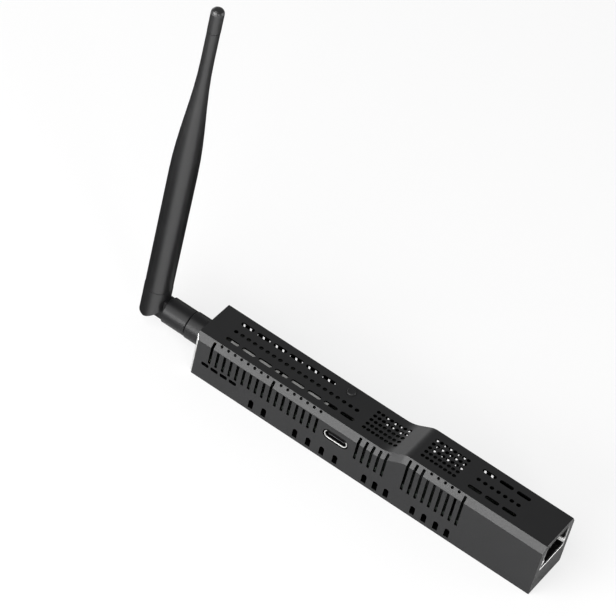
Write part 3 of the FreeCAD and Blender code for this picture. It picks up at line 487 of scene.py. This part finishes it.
@dataclass(frozen=True)
class SocketSteel(Finish):
    """Drawn socket shell: a bright rim at the housing's face, with painted shade, near black, deeper in and
    under the USB shell's top.

    The network socket's side springs carry a painted highlight, white and not metallic, free of the painted
    shade up to their reach.
    """

    rim_colour: Colour = (0.7, 0.7, 0.69)
    stain_colour: Colour = (0.55, 0.55, 0.54)
    flange_colour: Colour = (0.2, 0.2, 0.2)
    spring_painted_highlight: Colour = (0.92, 0.92, 0.91)
    spring_side: float = 5.3 * MM
    spring_heights: Pair = (12.3 * MM, 14.1 * MM)
    spring_reach: float = 5.0 * MM
    painted_depth_shade_colour: Colour = (0.002, 0.002, 0.002)
    usb_face: float = 9.6 * MM
    network_face: float = 67.7 * MM
    usb_rim: float = 0.3 * MM
    network_rim: float = 0.8 * MM
    shaded_top: Pair = (12.5 * MM, 13.0 * MM)
    shaded_back: float = 1.5 * MM
    network_start: Pair = (40.0 * MM, 50.0 * MM)
    scratch: float = 900.0

    def shader(self, graph: Graph) -> Wire:
        """The surface in a graph."""
        place = graph.place()
        x, y, z = (graph.part(place, axis) for axis in ("X", "Y", "Z"))
        # Painted shade: past the rims' depth, and under the USB shell's top on its near side, the shell is
        # painted near black and not metallic.
        usb_depth = (y + self.usb_face) / self.usb_rim
        depth = graph.least(usb_depth, (self.network_face - x) / self.network_rim)
        near_side = 1.0 - graph.step(y, -self.usb_face, -self.usb_face + self.shaded_back)
        away = 1.0 - graph.step(x, *self.network_start)
        shaded = graph.step(z, *self.shaded_top) * near_side * away
        deep = 1.0 - (1.0 - graph.step(depth, 0.6, 1.2)) * (1.0 - shaded)
        lines = graph.noise(graph.stretched((self.scratch,) * 3), 1.0, 4.0, 0.6)
        bright = graph.blend(graph.step(lines, 0.45, 0.8), self.rim_colour, self.stain_colour)
        network = x > self.network_start[0]
        # Painted highlight: the side springs are white, not metallic, and free of the painted shade.
        low, high = self.spring_heights
        spring = (graph.size_of(y) > self.spring_side) * (z > low) * (1.0 - (z > high)) * network
        inward = graph.step(self.network_face - x, 0.6 * self.spring_reach, self.spring_reach)
        spring = spring * (1.0 - inward)
        bright = graph.blend(network, bright, self.flange_colour)
        bright = graph.blend(spring, bright, self.spring_painted_highlight)
        deep = deep * (1.0 - spring)
        colour = graph.blend(deep, bright, self.painted_depth_shade_colour)
        rough = graph.between(lines * 0.3 + deep * 0.7, 0.25, 0.7)
        normal = graph.bump(lines, 0.004 * MM)
        metallic = 0.7 * (1.0 - deep) * (1.0 - spring)
        varying = {"Base Color": colour, "Roughness": rough, "Metallic": metallic, "Normal": normal}
        return graph.surface({"Specular IOR Level": 0.05}, varying)


@dataclass(frozen=True)
class TurnedMetal(Finish):
    """Bar turned on a lathe: rings at a fine pitch along X, and a slightly worn tone."""

    colour: Colour
    pitch: float = 0.18 * MM
    ring_depth: float = 0.01 * MM
    roughness: float = 0.32
    tarnish: float = 0.2

    def shader(self, graph: Graph) -> Wire:
        """The surface in a graph."""
        along = graph.part(graph.place(), "X")
        ring = graph.maths("SINE", along * (2.0 * math.pi / self.pitch))
        ring = ring * 0.5 + 0.5
        cloud = graph.noise(graph.place(), 900.0, 5.0, 0.6)
        dull = tuple(part * (1.0 - self.tarnish) for part in self.colour)
        colour = graph.blend(graph.step(cloud, 0.35, 0.7), self.colour, dull)
        rough = graph.between(cloud, self.roughness * 0.75, self.roughness * 1.35)
        normal = graph.bump(ring, self.ring_depth)
        varying = {"Base Color": colour, "Roughness": rough, "Normal": normal}
        return graph.surface({"Metallic": 1.0}, varying)


@dataclass(frozen=True)
class BoardMask(Finish):
    """Solder mask over copper: raised tracks on a square grid, plated dots and a satin gloss."""

    mask: Colour = (0.012, 0.016, 0.013)
    track: Colour = (0.028, 0.036, 0.03)
    plate: Colour = (0.2, 0.165, 0.085)
    track_pitch: float = 1.3 * MM
    dot_pitch: float = 2.1 * MM

    def shader(self, graph: Graph) -> Wire:
        """The surface in a graph."""
        place = graph.place()
        bricks = graph.add(
            "ShaderNodeTexBrick",
            {"offset": 0.37, "squash": 1.0},
            {"Vector": place, "Scale": 1.0, "Brick Width": 4.0 * self.track_pitch,
             "Row Height": self.track_pitch, "Mortar Size": 0.16 * MM, "Mortar Smooth": 0.3},
            "Fac",
        )
        spots = graph.cells(place, 1.0 / self.dot_pitch)
        dots = 1.0 - graph.step(spots, 0.1, 0.14)
        fine = graph.noise(place, 2600.0, 3.0, 0.5)
        colour = graph.blend(bricks, self.mask, self.track)
        colour = graph.blend(dots, colour, self.plate)
        rough = graph.between(fine, 0.28, 0.45)
        normal = graph.bump(bricks * 0.7 + fine * 0.1, 0.03 * MM)
        varying = {"Base Color": colour, "Roughness": rough, "Metallic": dots, "Normal": normal}
        return graph.surface({}, varying)


class Finishes:
    """Every finish of the adapter, made once."""

    def __init__(self) -> None:
        """Makes the materials, by the record's slot names."""
        kinds: dict[str, Finish] = {
            "black_housing": HousingCoat(
                MouldedPlastic((0.0108, 0.0109, 0.0114), roughness=0.38, specular=0.34),
            ),
            "screw_steel": SheetMetal((0.16, 0.16, 0.17), 0.38),
            "board_black": BoardMask(),
            "tinned_can": SheetMetal(
                (0.5, 0.5, 0.49), 0.5, (90.0, 1800.0, 1800.0), metallic=0.3, shaded_below=17.5 * MM,
            ),
            "chip_black": MouldedPlastic(
                (0.008, 0.008, 0.0085), grain=0.12 * MM, roughness=0.65, specular=0.25,
            ),
            "capacitor_can": SheetMetal((0.5, 0.5, 0.52), 0.35, (2400.0, 60.0, 60.0)),
            "lamp_clear": MouldedPlastic((0.75, 0.75, 0.68), roughness=0.25),
            "button_black": MouldedPlastic(
                (0.011, 0.011, 0.0116), grain=0.16 * MM, roughness=0.4, specular=0.3,
            ),
            "socket_steel": SocketSteel(),
            # The socket plastic's own black, made darker than the other black plastics as painted shade for
            # the sockets' insides.
            "socket_plastic": MouldedPlastic((0.003, 0.003, 0.0032), roughness=0.6, specular=0.1),
            "contact_gold": SheetMetal((0.86, 0.62, 0.26), 0.22),
            "brass_fitting": TurnedMetal((0.74, 0.58, 0.3)),
            "core_white": MouldedPlastic((0.82, 0.82, 0.8), roughness=0.35, cloud_change=0.04),
            "antenna_black": MouldedPlastic(
                (0.007, 0.007, 0.0075), grain=0.2 * MM, roughness=0.35, specular=0.9,
            ),
            "sleeve_black": MouldedPlastic(
                (0.006, 0.006, 0.0064), grain=0.2 * MM, grain_depth=0.006 * MM, roughness=0.34, specular=0.95,
            ),
        }
        self.by_slot = {slot: kind.make(slot) for slot, kind in kinds.items()}
        connector = MouldedPlastic((0.007, 0.007, 0.0075), grain=0.2 * MM, roughness=0.4, specular=0.28)
        connector_black = connector.make("connector_black")
        self.by_node = {"coupling_nut": connector_black, "antenna_swivel": connector_black}

    def dress(self, frame: dict) -> None:
        """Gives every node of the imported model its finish.
        """
        slots = {part["node"]: part["material_slot"] for part in frame["record"]["subparts"]}
        for name, node in frame["nodes"].items():
            node.data.materials.clear()
            node.data.materials.append(self.by_node.get(name, self.by_slot[slots[name]]))

    def put_on(self, piece: Piece, slot: str) -> None:
        """Gives a new piece one finish, as its only one."""
        piece.data.materials.clear()
        piece.data.materials.append(self.by_slot[slot])


def choose(*pieces: Piece) -> None:
    """Selects these objects and nothing else, the first as the active one."""
    bpy.ops.object.select_all(action="DESELECT")
    for piece in pieces:
        piece.select_set(True)
    bpy.context.view_layer.objects.active = pieces[0]


class Part(Enum):
    """What is picked in edit mode."""

    EDGES = ("EDGE", "edges")
    FACES = ("FACE", "faces")


@contextmanager
def editing(piece: Piece) -> Iterator[None]:
    """Edit mode on one object."""
    choose(piece)
    bpy.ops.object.mode_set(mode="EDIT")
    yield
    bpy.ops.object.mode_set(mode="OBJECT")


def pick(piece: Piece, part: Part, wanted: Callable[[object], bool]) -> None:
    """Selects parts of the mesh in edit mode.

    Args:
        piece: The object in edit mode.
        part: The kind of part.
        wanted: Says of each part whether it is wanted.
    """
    mode, table = part.value
    bpy.ops.mesh.select_mode(type=mode)
    bpy.ops.mesh.select_all(action="DESELECT")
    mesh = bmesh.from_edit_mesh(piece.data)
    for item in [item for item in getattr(mesh, table) if wanted(item)]:
        item.select_set(True)
    bmesh.update_edit_mesh(piece.data)


def runs_along(edge: bmesh.types.BMEdge, axis: int) -> bool:
    """Whether a straight edge runs along one axis."""
    way = edge.verts[1].co - edge.verts[0].co
    return abs(way[axis]) > 0.99 * way.length


def block(name: str, size: Sequence[float], middle: Sequence[float]) -> Piece:
    """A block to shape further.

    Args:
        name: Its name.
        size: Its length along each axis.
        middle: Its centre.

    Returns:
        The object, its place in its mesh.
    """
    bpy.ops.mesh.primitive_cube_add(size=1.0, location=middle, scale=size)
    piece = bpy.context.active_object
    piece.name = name
    choose(piece)
    bpy.ops.object.transform_apply(location=True, rotation=True, scale=True)
    return piece


def round_edges(
    piece: Piece, wanted: Callable[[bmesh.types.BMEdge], bool], radius: float, steps: int,
) -> None:
    """Rounds the wanted edges."""
    with editing(piece):
        pick(piece, Part.EDGES, wanted)
        bpy.ops.mesh.bevel(offset=radius, segments=steps, affect="EDGES")


def copy_at(piece: Piece, matrix: Matrix) -> Piece:
    """A copy with its own mesh, moved inside its mesh."""
    mesh = piece.data.copy()
    mesh.transform(matrix)
    twin = bpy.data.objects.new(piece.name, mesh)
    bpy.context.scene.collection.objects.link(twin)
    return twin


def join(pieces: Sequence[Piece]) -> Piece:
    """Makes one object of several."""
    choose(*pieces)
    bpy.ops.object.join()
    return pieces[0]


def merged_copy(node: Piece, name: str) -> Piece:
    """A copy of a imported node, its loose triangles merged to a closed skin with plain faces."""
    piece = bpy.data.objects.new(name, node.data.copy())
    bpy.context.scene.collection.objects.link(piece)
    choose(piece)
    bpy.ops.mesh.customdata_custom_splitnormals_clear()
    with editing(piece):
        bpy.ops.mesh.select_all(action="SELECT")
        bpy.ops.mesh.remove_doubles(threshold=0.001 * MM)
        bpy.ops.mesh.dissolve_limited(angle_limit=math.radians(0.5))
    return piece


def apply_modifier(piece: Piece, kind: str, settings: dict[str, object]) -> None:
    """Adds a modifier with its settings and applies it."""
    modifier = piece.modifiers.new(kind.lower(), kind)
    for key, value in settings.items():
        setattr(modifier, key, value)
    choose(piece)
    bpy.ops.object.modifier_apply(modifier=modifier.name)


def settle(piece: Piece, name: str, body: str, *nodes: str) -> None:
    """Names a piece, and says what it rides on and which nodes, if any, it stands for."""
    piece.name = name
    piece.data.name = name
    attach(piece, body)
    if nodes:
        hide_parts(*nodes)
    log.info("%s: %d faces", name, len(piece.data.polygons))


@dataclass
class Housing:
    """The perforated shell: every opening cut clean, with rounded corners or ends."""

    finishes: Finishes
    form: HousingForm = HousingForm()
    slot_width: float = 1.02 * MM
    slot_pitch: float = 2.665 * MM
    slot_foot: float = 8.62 * MM
    slot_round: float = 0.2 * MM
    slot_groups: tuple[tuple[float, int, tuple[int, ...]], ...] = (
        (-61.3 * MM, 17, (0, 9)),
        (-2.56 * MM, 5, (0, 1, 2, 3, 4)),
        (16.04 * MM, 9, (0, 1, 2, 8)),
    )
    dot_radius: float = 0.55 * MM
    dot_below_edge: float = 0.65 * MM
    arch_size: Pair = (1.9 * MM, 3.7 * MM)
    arch_foot: float = 1.25 * MM
    arch_places: tuple[float, ...] = (
        -43.0 * MM, -37.8 * MM, -25.1 * MM, -19.8 * MM, -14.3 * MM, -9.0 * MM,
        2.7 * MM, 7.0 * MM, 11.4 * MM, 21.9 * MM, 26.4 * MM, 31.0 * MM, 35.4 * MM,
    )
    dash_size: Pair = (2.95 * MM, 1.45 * MM)
    dash_middle: float = 7.05 * MM
    dash_row: tuple[float, float, int] = (-62.6 * MM, 3.76 * MM, 4)
    top_slot_size: Pair = (5.25 * MM, 1.55 * MM)
    top_slot_pitch: float = 6.6 * MM
    row_offset: float = 4.45 * MM
    slot_rows: tuple[tuple[float, int, float], ...] = (
        (-57.27 * MM, 8, -1.0), (-57.48 * MM, 6, 1.0), (38.0 * MM, 3, -1.0), (38.0 * MM, 3, 1.0),
    )
    round_radius: float = 0.78 * MM
    round_rows: tuple[tuple[float, float, int], ...] = (
        (-59.09 * MM, 2.569 * MM, 20), (36.6 * MM, 2.555 * MM, 7),
    )
    grid_radius: float = 0.71 * MM
    grid_starts: tuple[float, ...] = (-4.5 * MM, 17.65 * MM)
    grid_pitch: Pair = (1.745 * MM, 2.18 * MM)
    grid_size: tuple[int, int] = (8, 5)
    reach: float = 1.0 * MM
    wall_reach: float = 0.5 * MM
    bevel_reach: float = 1.6 * MM
    head_lap: float = 0.03 * MM
    head_gap: float = 0.2 * MM
    dot_length: float = 2.7 * MM
    dot_middle: float = -0.35 * MM
    top_cut: float = 2.4 * MM
    top_cut_middle: float = -0.2 * MM
    window_half: float = 6.9 * MM
    window_heights: Pair = (10.25 * MM, 20.55 * MM)
    window_bevel: float = 0.3 * MM

    def build(self, node: Piece) -> None:
        """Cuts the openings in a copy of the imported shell.

        Args:
            node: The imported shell.
        """
        shell = merged_copy(node, "housing")
        cutter = join([*self._side_slots(), *self._dots(), *self._arches(), *self._dashes(), *self._top()])
        apply_modifier(shell, "BOOLEAN", {"operation": "DIFFERENCE", "solver": "EXACT", "object": cutter})
        bpy.data.objects.remove(cutter)
        self._bevel_window(shell)
        self._smooth_ramp(shell.data)
        self.finishes.put_on(shell, "black_housing")
        settle(shell, "perforated_housing", "adapter", "housing_shell")

    def _bevel_window(self, shell: Piece) -> None:
        """Bevels the outer edge of the network socket's window."""
        end = self.form.half_length - 0.01 * MM
        low, high = self.window_heights
        reach = 0.05 * MM

        def on_window(edge: bmesh.types.BMEdge) -> bool:
            first, second = (corner.co for corner in edge.verts)
            if min(first.x, second.x) < end:
                return False
            across = [abs(abs(co.y) - self.window_half) < reach and low - reach < co.z < high + reach
                      for co in (first, second)]
            level = [min(abs(co.z - low), abs(co.z - high)) < reach and abs(co.y) < self.window_half + reach
                     for co in (first, second)]
            return all(across) or all(level)

        round_edges(shell, on_window, self.window_bevel, 1)

    def _smooth_ramp(self, mesh: bpy.types.Mesh) -> None:
        """Gives the ramp's outside its exact normals, and leaves every other face plain."""
        normals = []
        for face in mesh.polygons:
            outside = (self.form.ramp_foot < face.center.x < self.form.ramp_end
                       and face.normal.z > 0.4 and abs(face.normal.x) < 0.6
                       and face.center.z > self.form.low_top - 3.0 * MM)
            face.use_smooth = outside
            side = 0.0 if abs(face.normal.y) < 0.3 else math.copysign(1.0, face.normal.y)
            for index in face.loop_indices:
                x = mesh.vertices[mesh.loops[index].vertex_index].co.x
                normals.append(self.form.normal_at(x, side) if outside else face.normal.copy())
        mesh.normals_split_custom_set(normals)

    def _both_sides(self, model: Piece, places: Spots) -> list[Piece]:
        """Copies of a block made for the near side, at each (X, Z) of both sides."""
        copies = []
        for x, z in places:
            moved = Matrix.Translation((x, 0.0, z))
            copies.append(copy_at(model, moved))
            copies.append(copy_at(model, Matrix.Rotation(math.pi, 4, "Z") @ Matrix.Translation((-x, 0.0, z))))
        bpy.data.objects.remove(model)
        return copies

    def _side_block(self, width: float, height: float, inner: float) -> Piece:
        """A block through the near side wall, centred on X = 0 and Z = 0."""
        outer = self.form.half_width + self.reach
        size = (width, outer - inner, height)
        return block("opening", size, (0.0, -(outer + inner) / 2.0, 0.0))

    def _side_slots(self) -> list[Piece]:
        """The upright slots, tall ones up into the bevel."""
        slots = []
        for start, count, tall in self.slot_groups:
            for index in range(count):
                x = start + index * self.slot_pitch
                if index in tall:
                    drop = self.dot_below_edge * self.form.bevel_down / self.form.bevel_slant
                    head = self.form.top_at(x) - drop + self.head_lap
                    inner = self.form.inner_half - self.bevel_reach
                else:
                    head = self.form.top_at(x) - self.form.bevel_down - self.head_gap
                    inner = self.form.inner_half - self.wall_reach
                model = self._side_block(self.slot_width, head - self.slot_foot, inner)
                round_edges(model, lambda edge: runs_along(edge, 1), self.slot_round, 3)
                slots += self._both_sides(model, [(x, (head + self.slot_foot) / 2.0)])
        return slots

    def _dots(self) -> list[Piece]:
        """The small holes through the bevel over each short slot."""
        bpy.ops.mesh.primitive_cylinder_add(vertices=12, radius=self.dot_radius, depth=self.dot_length)
        model = bpy.context.active_object
        model.name = "opening"
        share = self.dot_below_edge / self.form.bevel_slant
        y = self.form.half_width - self.form.bevel_across * (1.0 - share)
        lean = math.asin(self.form.bevel_down / self.form.bevel_slant)
        dots = []
        for start, count, tall in self.slot_groups:
            for index in set(range(count)) - set(tall):
                x = start + index * self.slot_pitch
                z = self.form.top_at(x) - share * self.form.bevel_down
                for side in (-1.0, 1.0):
                    turn = Matrix.Rotation(-side * lean, 4, "X")
                    inward = Matrix.Translation((0.0, 0.0, self.dot_middle))
                    dots.append(copy_at(model, Matrix.Translation((x, side * y, z)) @ turn @ inward))
        bpy.data.objects.remove(model)
        return dots

    def _arches(self) -> list[Piece]:
        """The arched openings near the foot."""
        width, height = self.arch_size
        model = self._side_block(width, height, self.form.inner_half - self.wall_reach)
        round_edges(model, lambda edge: runs_along(edge, 1) and edge.verts[0].co.z > 0.0, 0.48 * width, 6)
        middle = self.arch_foot + height / 2.0
        return self._both_sides(model, [(x, middle) for x in self.arch_places])

    def _dashes(self) -> list[Piece]:
        """The short level openings near the tail."""
        length, height = self.dash_size
        model = self._side_block(length, height, self.form.inner_half - self.wall_reach)
        round_edges(model, lambda edge: runs_along(edge, 1), 0.35 * height, 3)
        start, pitch, count = self.dash_row
        return self._both_sides(model, [(start + index * pitch, self.dash_middle) for index in range(count)])

    def _top(self) -> list[Piece]:
        """The slots, round holes and grids of the top."""
        length, width = self.top_slot_size
        slot = block("opening", (length, width, self.top_cut), (0.0, 0.0, self.top_cut_middle))
        round_edges(slot, lambda edge: runs_along(edge, 2), 0.48 * width, 6)
        cuts = []
        for start, count, side in self.slot_rows:
            cuts += self._down_through(slot, [(start + index * self.top_slot_pitch, side * self.row_offset)
                                              for index in range(count)])
        bpy.data.objects.remove(slot)
        rounds = self._round_model(self.round_radius)
        for start, pitch, count in self.round_rows:
            cuts += self._down_through(rounds, [(start + index * pitch, 0.0) for index in range(count)])
        bpy.data.objects.remove(rounds)
        small = self._round_model(self.grid_radius)
        columns, rows = self.grid_size
        along, across = self.grid_pitch
        for start in self.grid_starts:
            places = [(start + column * along, (row - (rows - 1) / 2.0) * across)
                      for column in range(columns) for row in range(rows)]
            cuts += self._down_through(small, places)
        bpy.data.objects.remove(small)
        return cuts

    def _round_model(self, radius: float) -> Piece:
        """A short round bar to cut a hole with."""
        middle = (0.0, 0.0, self.top_cut_middle)
        bpy.ops.mesh.primitive_cylinder_add(vertices=16, radius=radius, depth=self.top_cut, location=middle)
        model = bpy.context.active_object
        model.name = "opening"
        choose(model)
        bpy.ops.object.transform_apply(location=True, rotation=True, scale=True)
        return model

    def _down_through(self, model: Piece, places: Spots) -> list[Piece]:
        """Copies of a cutter through the top at each (X, Y)."""
        return [copy_at(model, Matrix.Translation((x, y, self.form.top_at(x)))) for x, y in places]


@dataclass
class UsbSocket:
    """The drawn shell with its rolled lip, the tongue and its contact strips."""

    finishes: Finishes
    middle: Pair = (-10.7 * MM, 11.68 * MM)
    face: float = -9.6 * MM
    shell_size: Triple = (8.94 * MM, 7.4 * MM, 3.16 * MM)
    sheet: float = 0.3 * MM
    lip: float = 0.07 * MM
    tongue_size: Triple = (6.7 * MM, 6.2 * MM, 0.7 * MM)
    tongue_front: float = -9.0 * MM
    contact_size: Triple = (0.25 * MM, 3.4 * MM, 0.03 * MM)
    contact_pitch: float = 0.5 * MM
    contact_count: int = 12
    contact_setback: float = 0.5 * MM
    plate_size: Triple = (6.5 * MM, 3.0 * MM, 0.16 * MM)
    plate_proud: float = 0.06 * MM

    def build(self) -> None:
        """Makes the shell, tongue, contacts and middle plate."""
        self._shell()
        self._tongue()
        self._contacts()
        self._plate()

    def _shell(self) -> None:
        """A block with round ends, hollowed from its face."""
        width, depth, height = self.shell_size
        x, z = self.middle
        shell = block("usb", (width, depth, height), (x, self.face + depth / 2.0, z))
        round_edges(shell, lambda edge: runs_along(edge, 1), 0.49 * height, 8)
        with editing(shell):
            pick(shell, Part.FACES, lambda face: face.normal.y < -0.9)
            bpy.ops.mesh.inset(thickness=self.sheet)
            bpy.ops.mesh.extrude_region_move(TRANSFORM_OT_translate={"value": (0.0, depth - self.sheet, 0.0)})
        front = self.face + 0.001 * MM
        round_edges(shell, lambda edge: all(corner.co.y < front for corner in edge.verts)
                    and edge.calc_face_angle(0.0) > 1.0, self.lip, 3)
        choose(shell)
        bpy.ops.object.shade_smooth_by_angle(angle=math.radians(50.0))
        self.finishes.put_on(shell, "socket_steel")
        settle(shell, "usb_drawn_shell", "adapter", "usb_shell")

    def _tongue(self) -> None:
        """A thin bar with soft front edges on a base that fills the shell's end."""
        width, length, thickness = self.tongue_size
        x, z = self.middle
        tongue = block("tongue", (width, length, thickness), (x, self.tongue_front + length / 2.0, z))
        front = self.tongue_front + 0.1 * MM
        round_edges(tongue, lambda edge: all(corner.co.y < front for corner in edge.verts), 0.12 * MM, 3)
        back = self.face + self.shell_size[1] - self.sheet
        base = block("base", (width + 1.2 * MM, 2.0 * MM, thickness + 1.6 * MM), (x, back - 1.0 * MM, z))
        round_edges(base, lambda edge: runs_along(edge, 1), 0.6 * MM, 4)
        apply_modifier(tongue, "BOOLEAN", {"operation": "UNION", "solver": "EXACT", "object": base})
        bpy.data.objects.remove(base)
        self.finishes.put_on(tongue, "socket_plastic")
        settle(tongue, "usb_moulded_tongue", "adapter", "usb_tongue")

    def _contacts(self) -> None:
        """A row of gold strips on both faces of the tongue."""
        x, z = self.middle
        y = self.tongue_front + self.contact_setback + self.contact_size[1] / 2.0
        strip = block("strip", self.contact_size, (0.0, 0.0, 0.0))
        round_edges(strip, lambda edge: runs_along(edge, 2) and edge.verts[0].co.y < 0.0, 0.08 * MM, 2)
        strips = []
        for side in (-1.0, 1.0):
            for index in range(self.contact_count):
                across = (index - (self.contact_count - 1) / 2.0) * self.contact_pitch
                up = z + side * self.tongue_size[2] / 2.0
                strips.append(copy_at(strip, Matrix.Translation((x + across, y, up))))
        bpy.data.objects.remove(strip)
        row = join(strips)
        self.finishes.put_on(row, "contact_gold")
        settle(row, "usb_contacts", "adapter")

    def _plate(self) -> None:
        """The steel plate in the tongue, its edge showing along the front."""
        x, z = self.middle
        front = self.tongue_front - self.plate_proud
        plate = block("plate", self.plate_size, (x, front + self.plate_size[1] / 2.0, z))
        round_edges(plate, lambda edge: runs_along(edge, 2) and edge.verts[0].co.y < front + 0.1 * MM,
                    0.4 * MM, 4)
        self.finishes.put_on(plate, "screw_steel")
        settle(plate, "usb_middle_plate", "adapter")


@dataclass
class Button:
    """The push button's cap with a shallow dish in its top."""

    finishes: Finishes
    dish_edge: float = 0.3 * MM
    dish_depth: float = 0.09 * MM

    def build(self, node: Piece) -> None:
        """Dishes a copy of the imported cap.

        Args:
            node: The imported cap.
        """
        cap = merged_copy(node, "cap")
        top = max(corner.co.z for corner in cap.data.vertices)
        with editing(cap):
            pick(cap, Part.FACES, lambda face: face.normal.z > 0.99
                 and face.calc_center_median().z > top - 0.01 * MM)
            for _ in range(2):
                bpy.ops.mesh.inset(thickness=self.dish_edge)
                bpy.ops.transform.translate(value=(0.0, 0.0, -0.5 * self.dish_depth))
        choose(cap)
        bpy.ops.object.shade_smooth_by_angle(angle=math.radians(35.0))
        self.finishes.put_on(cap, "button_black")
        settle(cap, "dished_button", "button", "button_cap")


@dataclass(frozen=True)
class Lamp:
    """A soft rectangular lamp that looks at a target."""

    name: str
    place: Triple
    target: Triple
    size: Pair
    watts: float

    def build(self) -> None:
        """Hangs the lamp in the scene."""
        light = bpy.data.lights.new(self.name, "AREA")
        light.shape = "RECTANGLE"
        light.size, light.size_y = self.size
        light.energy = self.watts
        lamp = bpy.data.objects.new(self.name, light)
        bpy.context.scene.collection.objects.link(lamp)
        lamp.location = self.place
        lamp.rotation_euler = (Vector(self.target) - Vector(self.place)).to_track_quat("-Z", "Y").to_euler()


@dataclass
class Studio:
    """The pale floor, the soft lamps and the camera."""

    camera_place: Vector = Vector((0.272014, -0.674438, 0.787360))
    camera_right: Vector = Vector((0.80394, 0.56645, 0.18112))
    camera_up: Vector = Vector((-0.51682, 0.51478, 0.68403))
    focal_pixels: float = 3287.35
    frame_pixels: float = 616.0
    sensor: float = 36.0
    lamps: tuple[Lamp, ...] = (
        Lamp("front_lamp", (-0.29, -0.91, 0.3), (0.0, 0.0, 0.02), (1.1, 0.4), 14.0),
        Lamp("high_lamp", (-0.37, -0.7, 1.0), (0.0, 0.0, 0.02), (1.0, 0.8), 8.0),
        Lamp("rear_lamp", (-0.68, 0.58, 0.17), (0.0, 0.0, 0.02), (0.6, 0.34), 1.2),
        Lamp("end_lamp", (0.7, 0.45, 0.3), (0.07, 0.01, 0.0), (0.5, 0.4), 1.7),
        Lamp("socket_lamp", (0.6, -0.5, 0.35), (0.068, 0.006, 0.013), (0.2, 0.2), 1.7),
    )
    world_light: float = 0.28
    backdrop_light: float = 0.98
    floor_size: float = 6.0
    floor_drop: float = 0.03 * MM
    rod_place: float = 90.8 * MM
    card_lean: float = 0.396
    card_reach: Pair = (0.17, 0.24)
    card_edge: Pair = (-0.02, 0.6)
    back_card: Pair = (0.012, 0.03)
    back_card_end: Pair = (0.04, 0.08)
    card_tone: Colour = (0.03, 0.03, 0.03)
    floor_tone: Colour = (0.82, 0.82, 0.82)
    floor_glow: Pair = (0.7, 1.04)

    def build(self) -> None:
        """Makes the floor, lamps, world and camera."""
        self._floor()
        for lamp in self.lamps:
            lamp.build()
        self._world()
        self._camera()

    def _floor(self) -> None:
        """A broad floor, white to the camera with the object's shadow.

        Behind the housing and left of the rod it gives back little light, as under a studio's dark cards,
        so that the rod's edges and the top stay dark.
        """
        bpy.ops.mesh.primitive_plane_add(size=self.floor_size, location=(0.0, 0.0, -self.floor_drop))
        floor = bpy.context.active_object
        floor.name = "floor"
        graph = Graph("floor_white")
        seen = graph.add("ShaderNodeLightPath", output="Is Camera Ray")
        place = graph.place()
        x, y = (graph.part(place, axis) for axis in ("X", "Y"))
        behind = graph.step(y, *self.back_card) * (1.0 - graph.step(x, *self.back_card_end))
        past_rod = x + self.rod_place
        distance = (past_rod * past_rod + y * y + 1e-8) ** 0.5
        turned = (past_rod - y * self.card_lean) / (distance * math.hypot(1.0, self.card_lean))
        lit = (1.0 - behind) * graph.step(turned, *self.card_edge)
        lit = graph.most(lit, graph.step(distance, *self.card_reach))
        tone = graph.blend(lit, self.card_tone, self.floor_tone)
        share, strength = self.floor_glow
        pale = graph.add("ShaderNodeBsdfDiffuse", inputs={"Color": (*self.floor_tone, 1.0)})
        glow = graph.add("ShaderNodeEmission", inputs={"Color": (1.0, 1.0, 1.0, 1.0), "Strength": strength})
        white = graph.add("ShaderNodeMixShader", inputs={0: share, 1: pale, 2: glow})
        bounce = graph.add("ShaderNodeBsdfDiffuse", inputs={"Color": tone})
        shown = graph.add("ShaderNodeMixShader", inputs={0: seen, 1: bounce, 2: white})
        floor.data.materials.append(graph.finish(shown))

    def _world(self) -> None:
        """Plain light from all round, and a white backdrop to the camera."""
        world = bpy.data.worlds.new("studio")
        world.use_nodes = True
        nodes = world.node_tree.nodes
        links = world.node_tree.links
        background = nodes["Background"]
        backdrop = nodes.new("ShaderNodeBackground")
        for node, strength in ((background, self.world_light), (backdrop, self.backdrop_light)):
            node.inputs["Color"].default_value = (1.0, 1.0, 1.0, 1.0)
            node.inputs["Strength"].default_value = strength
        seen = nodes.new("ShaderNodeLightPath")
        both = nodes.new("ShaderNodeMixShader")
        links.new(seen.outputs["Is Camera Ray"], both.inputs[0])
        links.new(background.outputs[0], both.inputs[1])
        links.new(backdrop.outputs[0], both.inputs[2])
        links.new(both.outputs[0], nodes["World Output"].inputs["Surface"])
        bpy.context.scene.world = world

    def _camera(self) -> None:
        """The camera at the photograph's angle."""
        data = bpy.data.cameras.new("camera")
        data.sensor_width = self.sensor
        data.lens = self.sensor * self.focal_pixels / self.frame_pixels
        data.clip_start = 0.01
        data.clip_end = 20.0
        camera = bpy.data.objects.new("camera", data)
        bpy.context.scene.collection.objects.link(camera)
        back = self.camera_right.cross(self.camera_up)
        turn = Matrix((self.camera_right, self.camera_up, back)).transposed()
        camera.matrix_world = Matrix.Translation(self.camera_place) @ turn.to_4x4()
        bpy.context.scene.camera = camera


def main() -> None:
    """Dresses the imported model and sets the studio."""
    logging.basicConfig(level=logging.INFO, format="%(message)s")
    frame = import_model()
    bpy.ops.object.select_all(action="DESELECT")
    bpy.context.scene.view_settings.view_transform = "Standard"
    finishes = Finishes()
    finishes.dress(frame)
    Housing(finishes).build(frame["nodes"]["housing_shell"])
    UsbSocket(finishes).build()
    Button(finishes).build(frame["nodes"]["button_cap"])
    Studio().build()
    log.info("dressed %d nodes", len(frame["nodes"]))


if __name__ == "__main__":
    main()
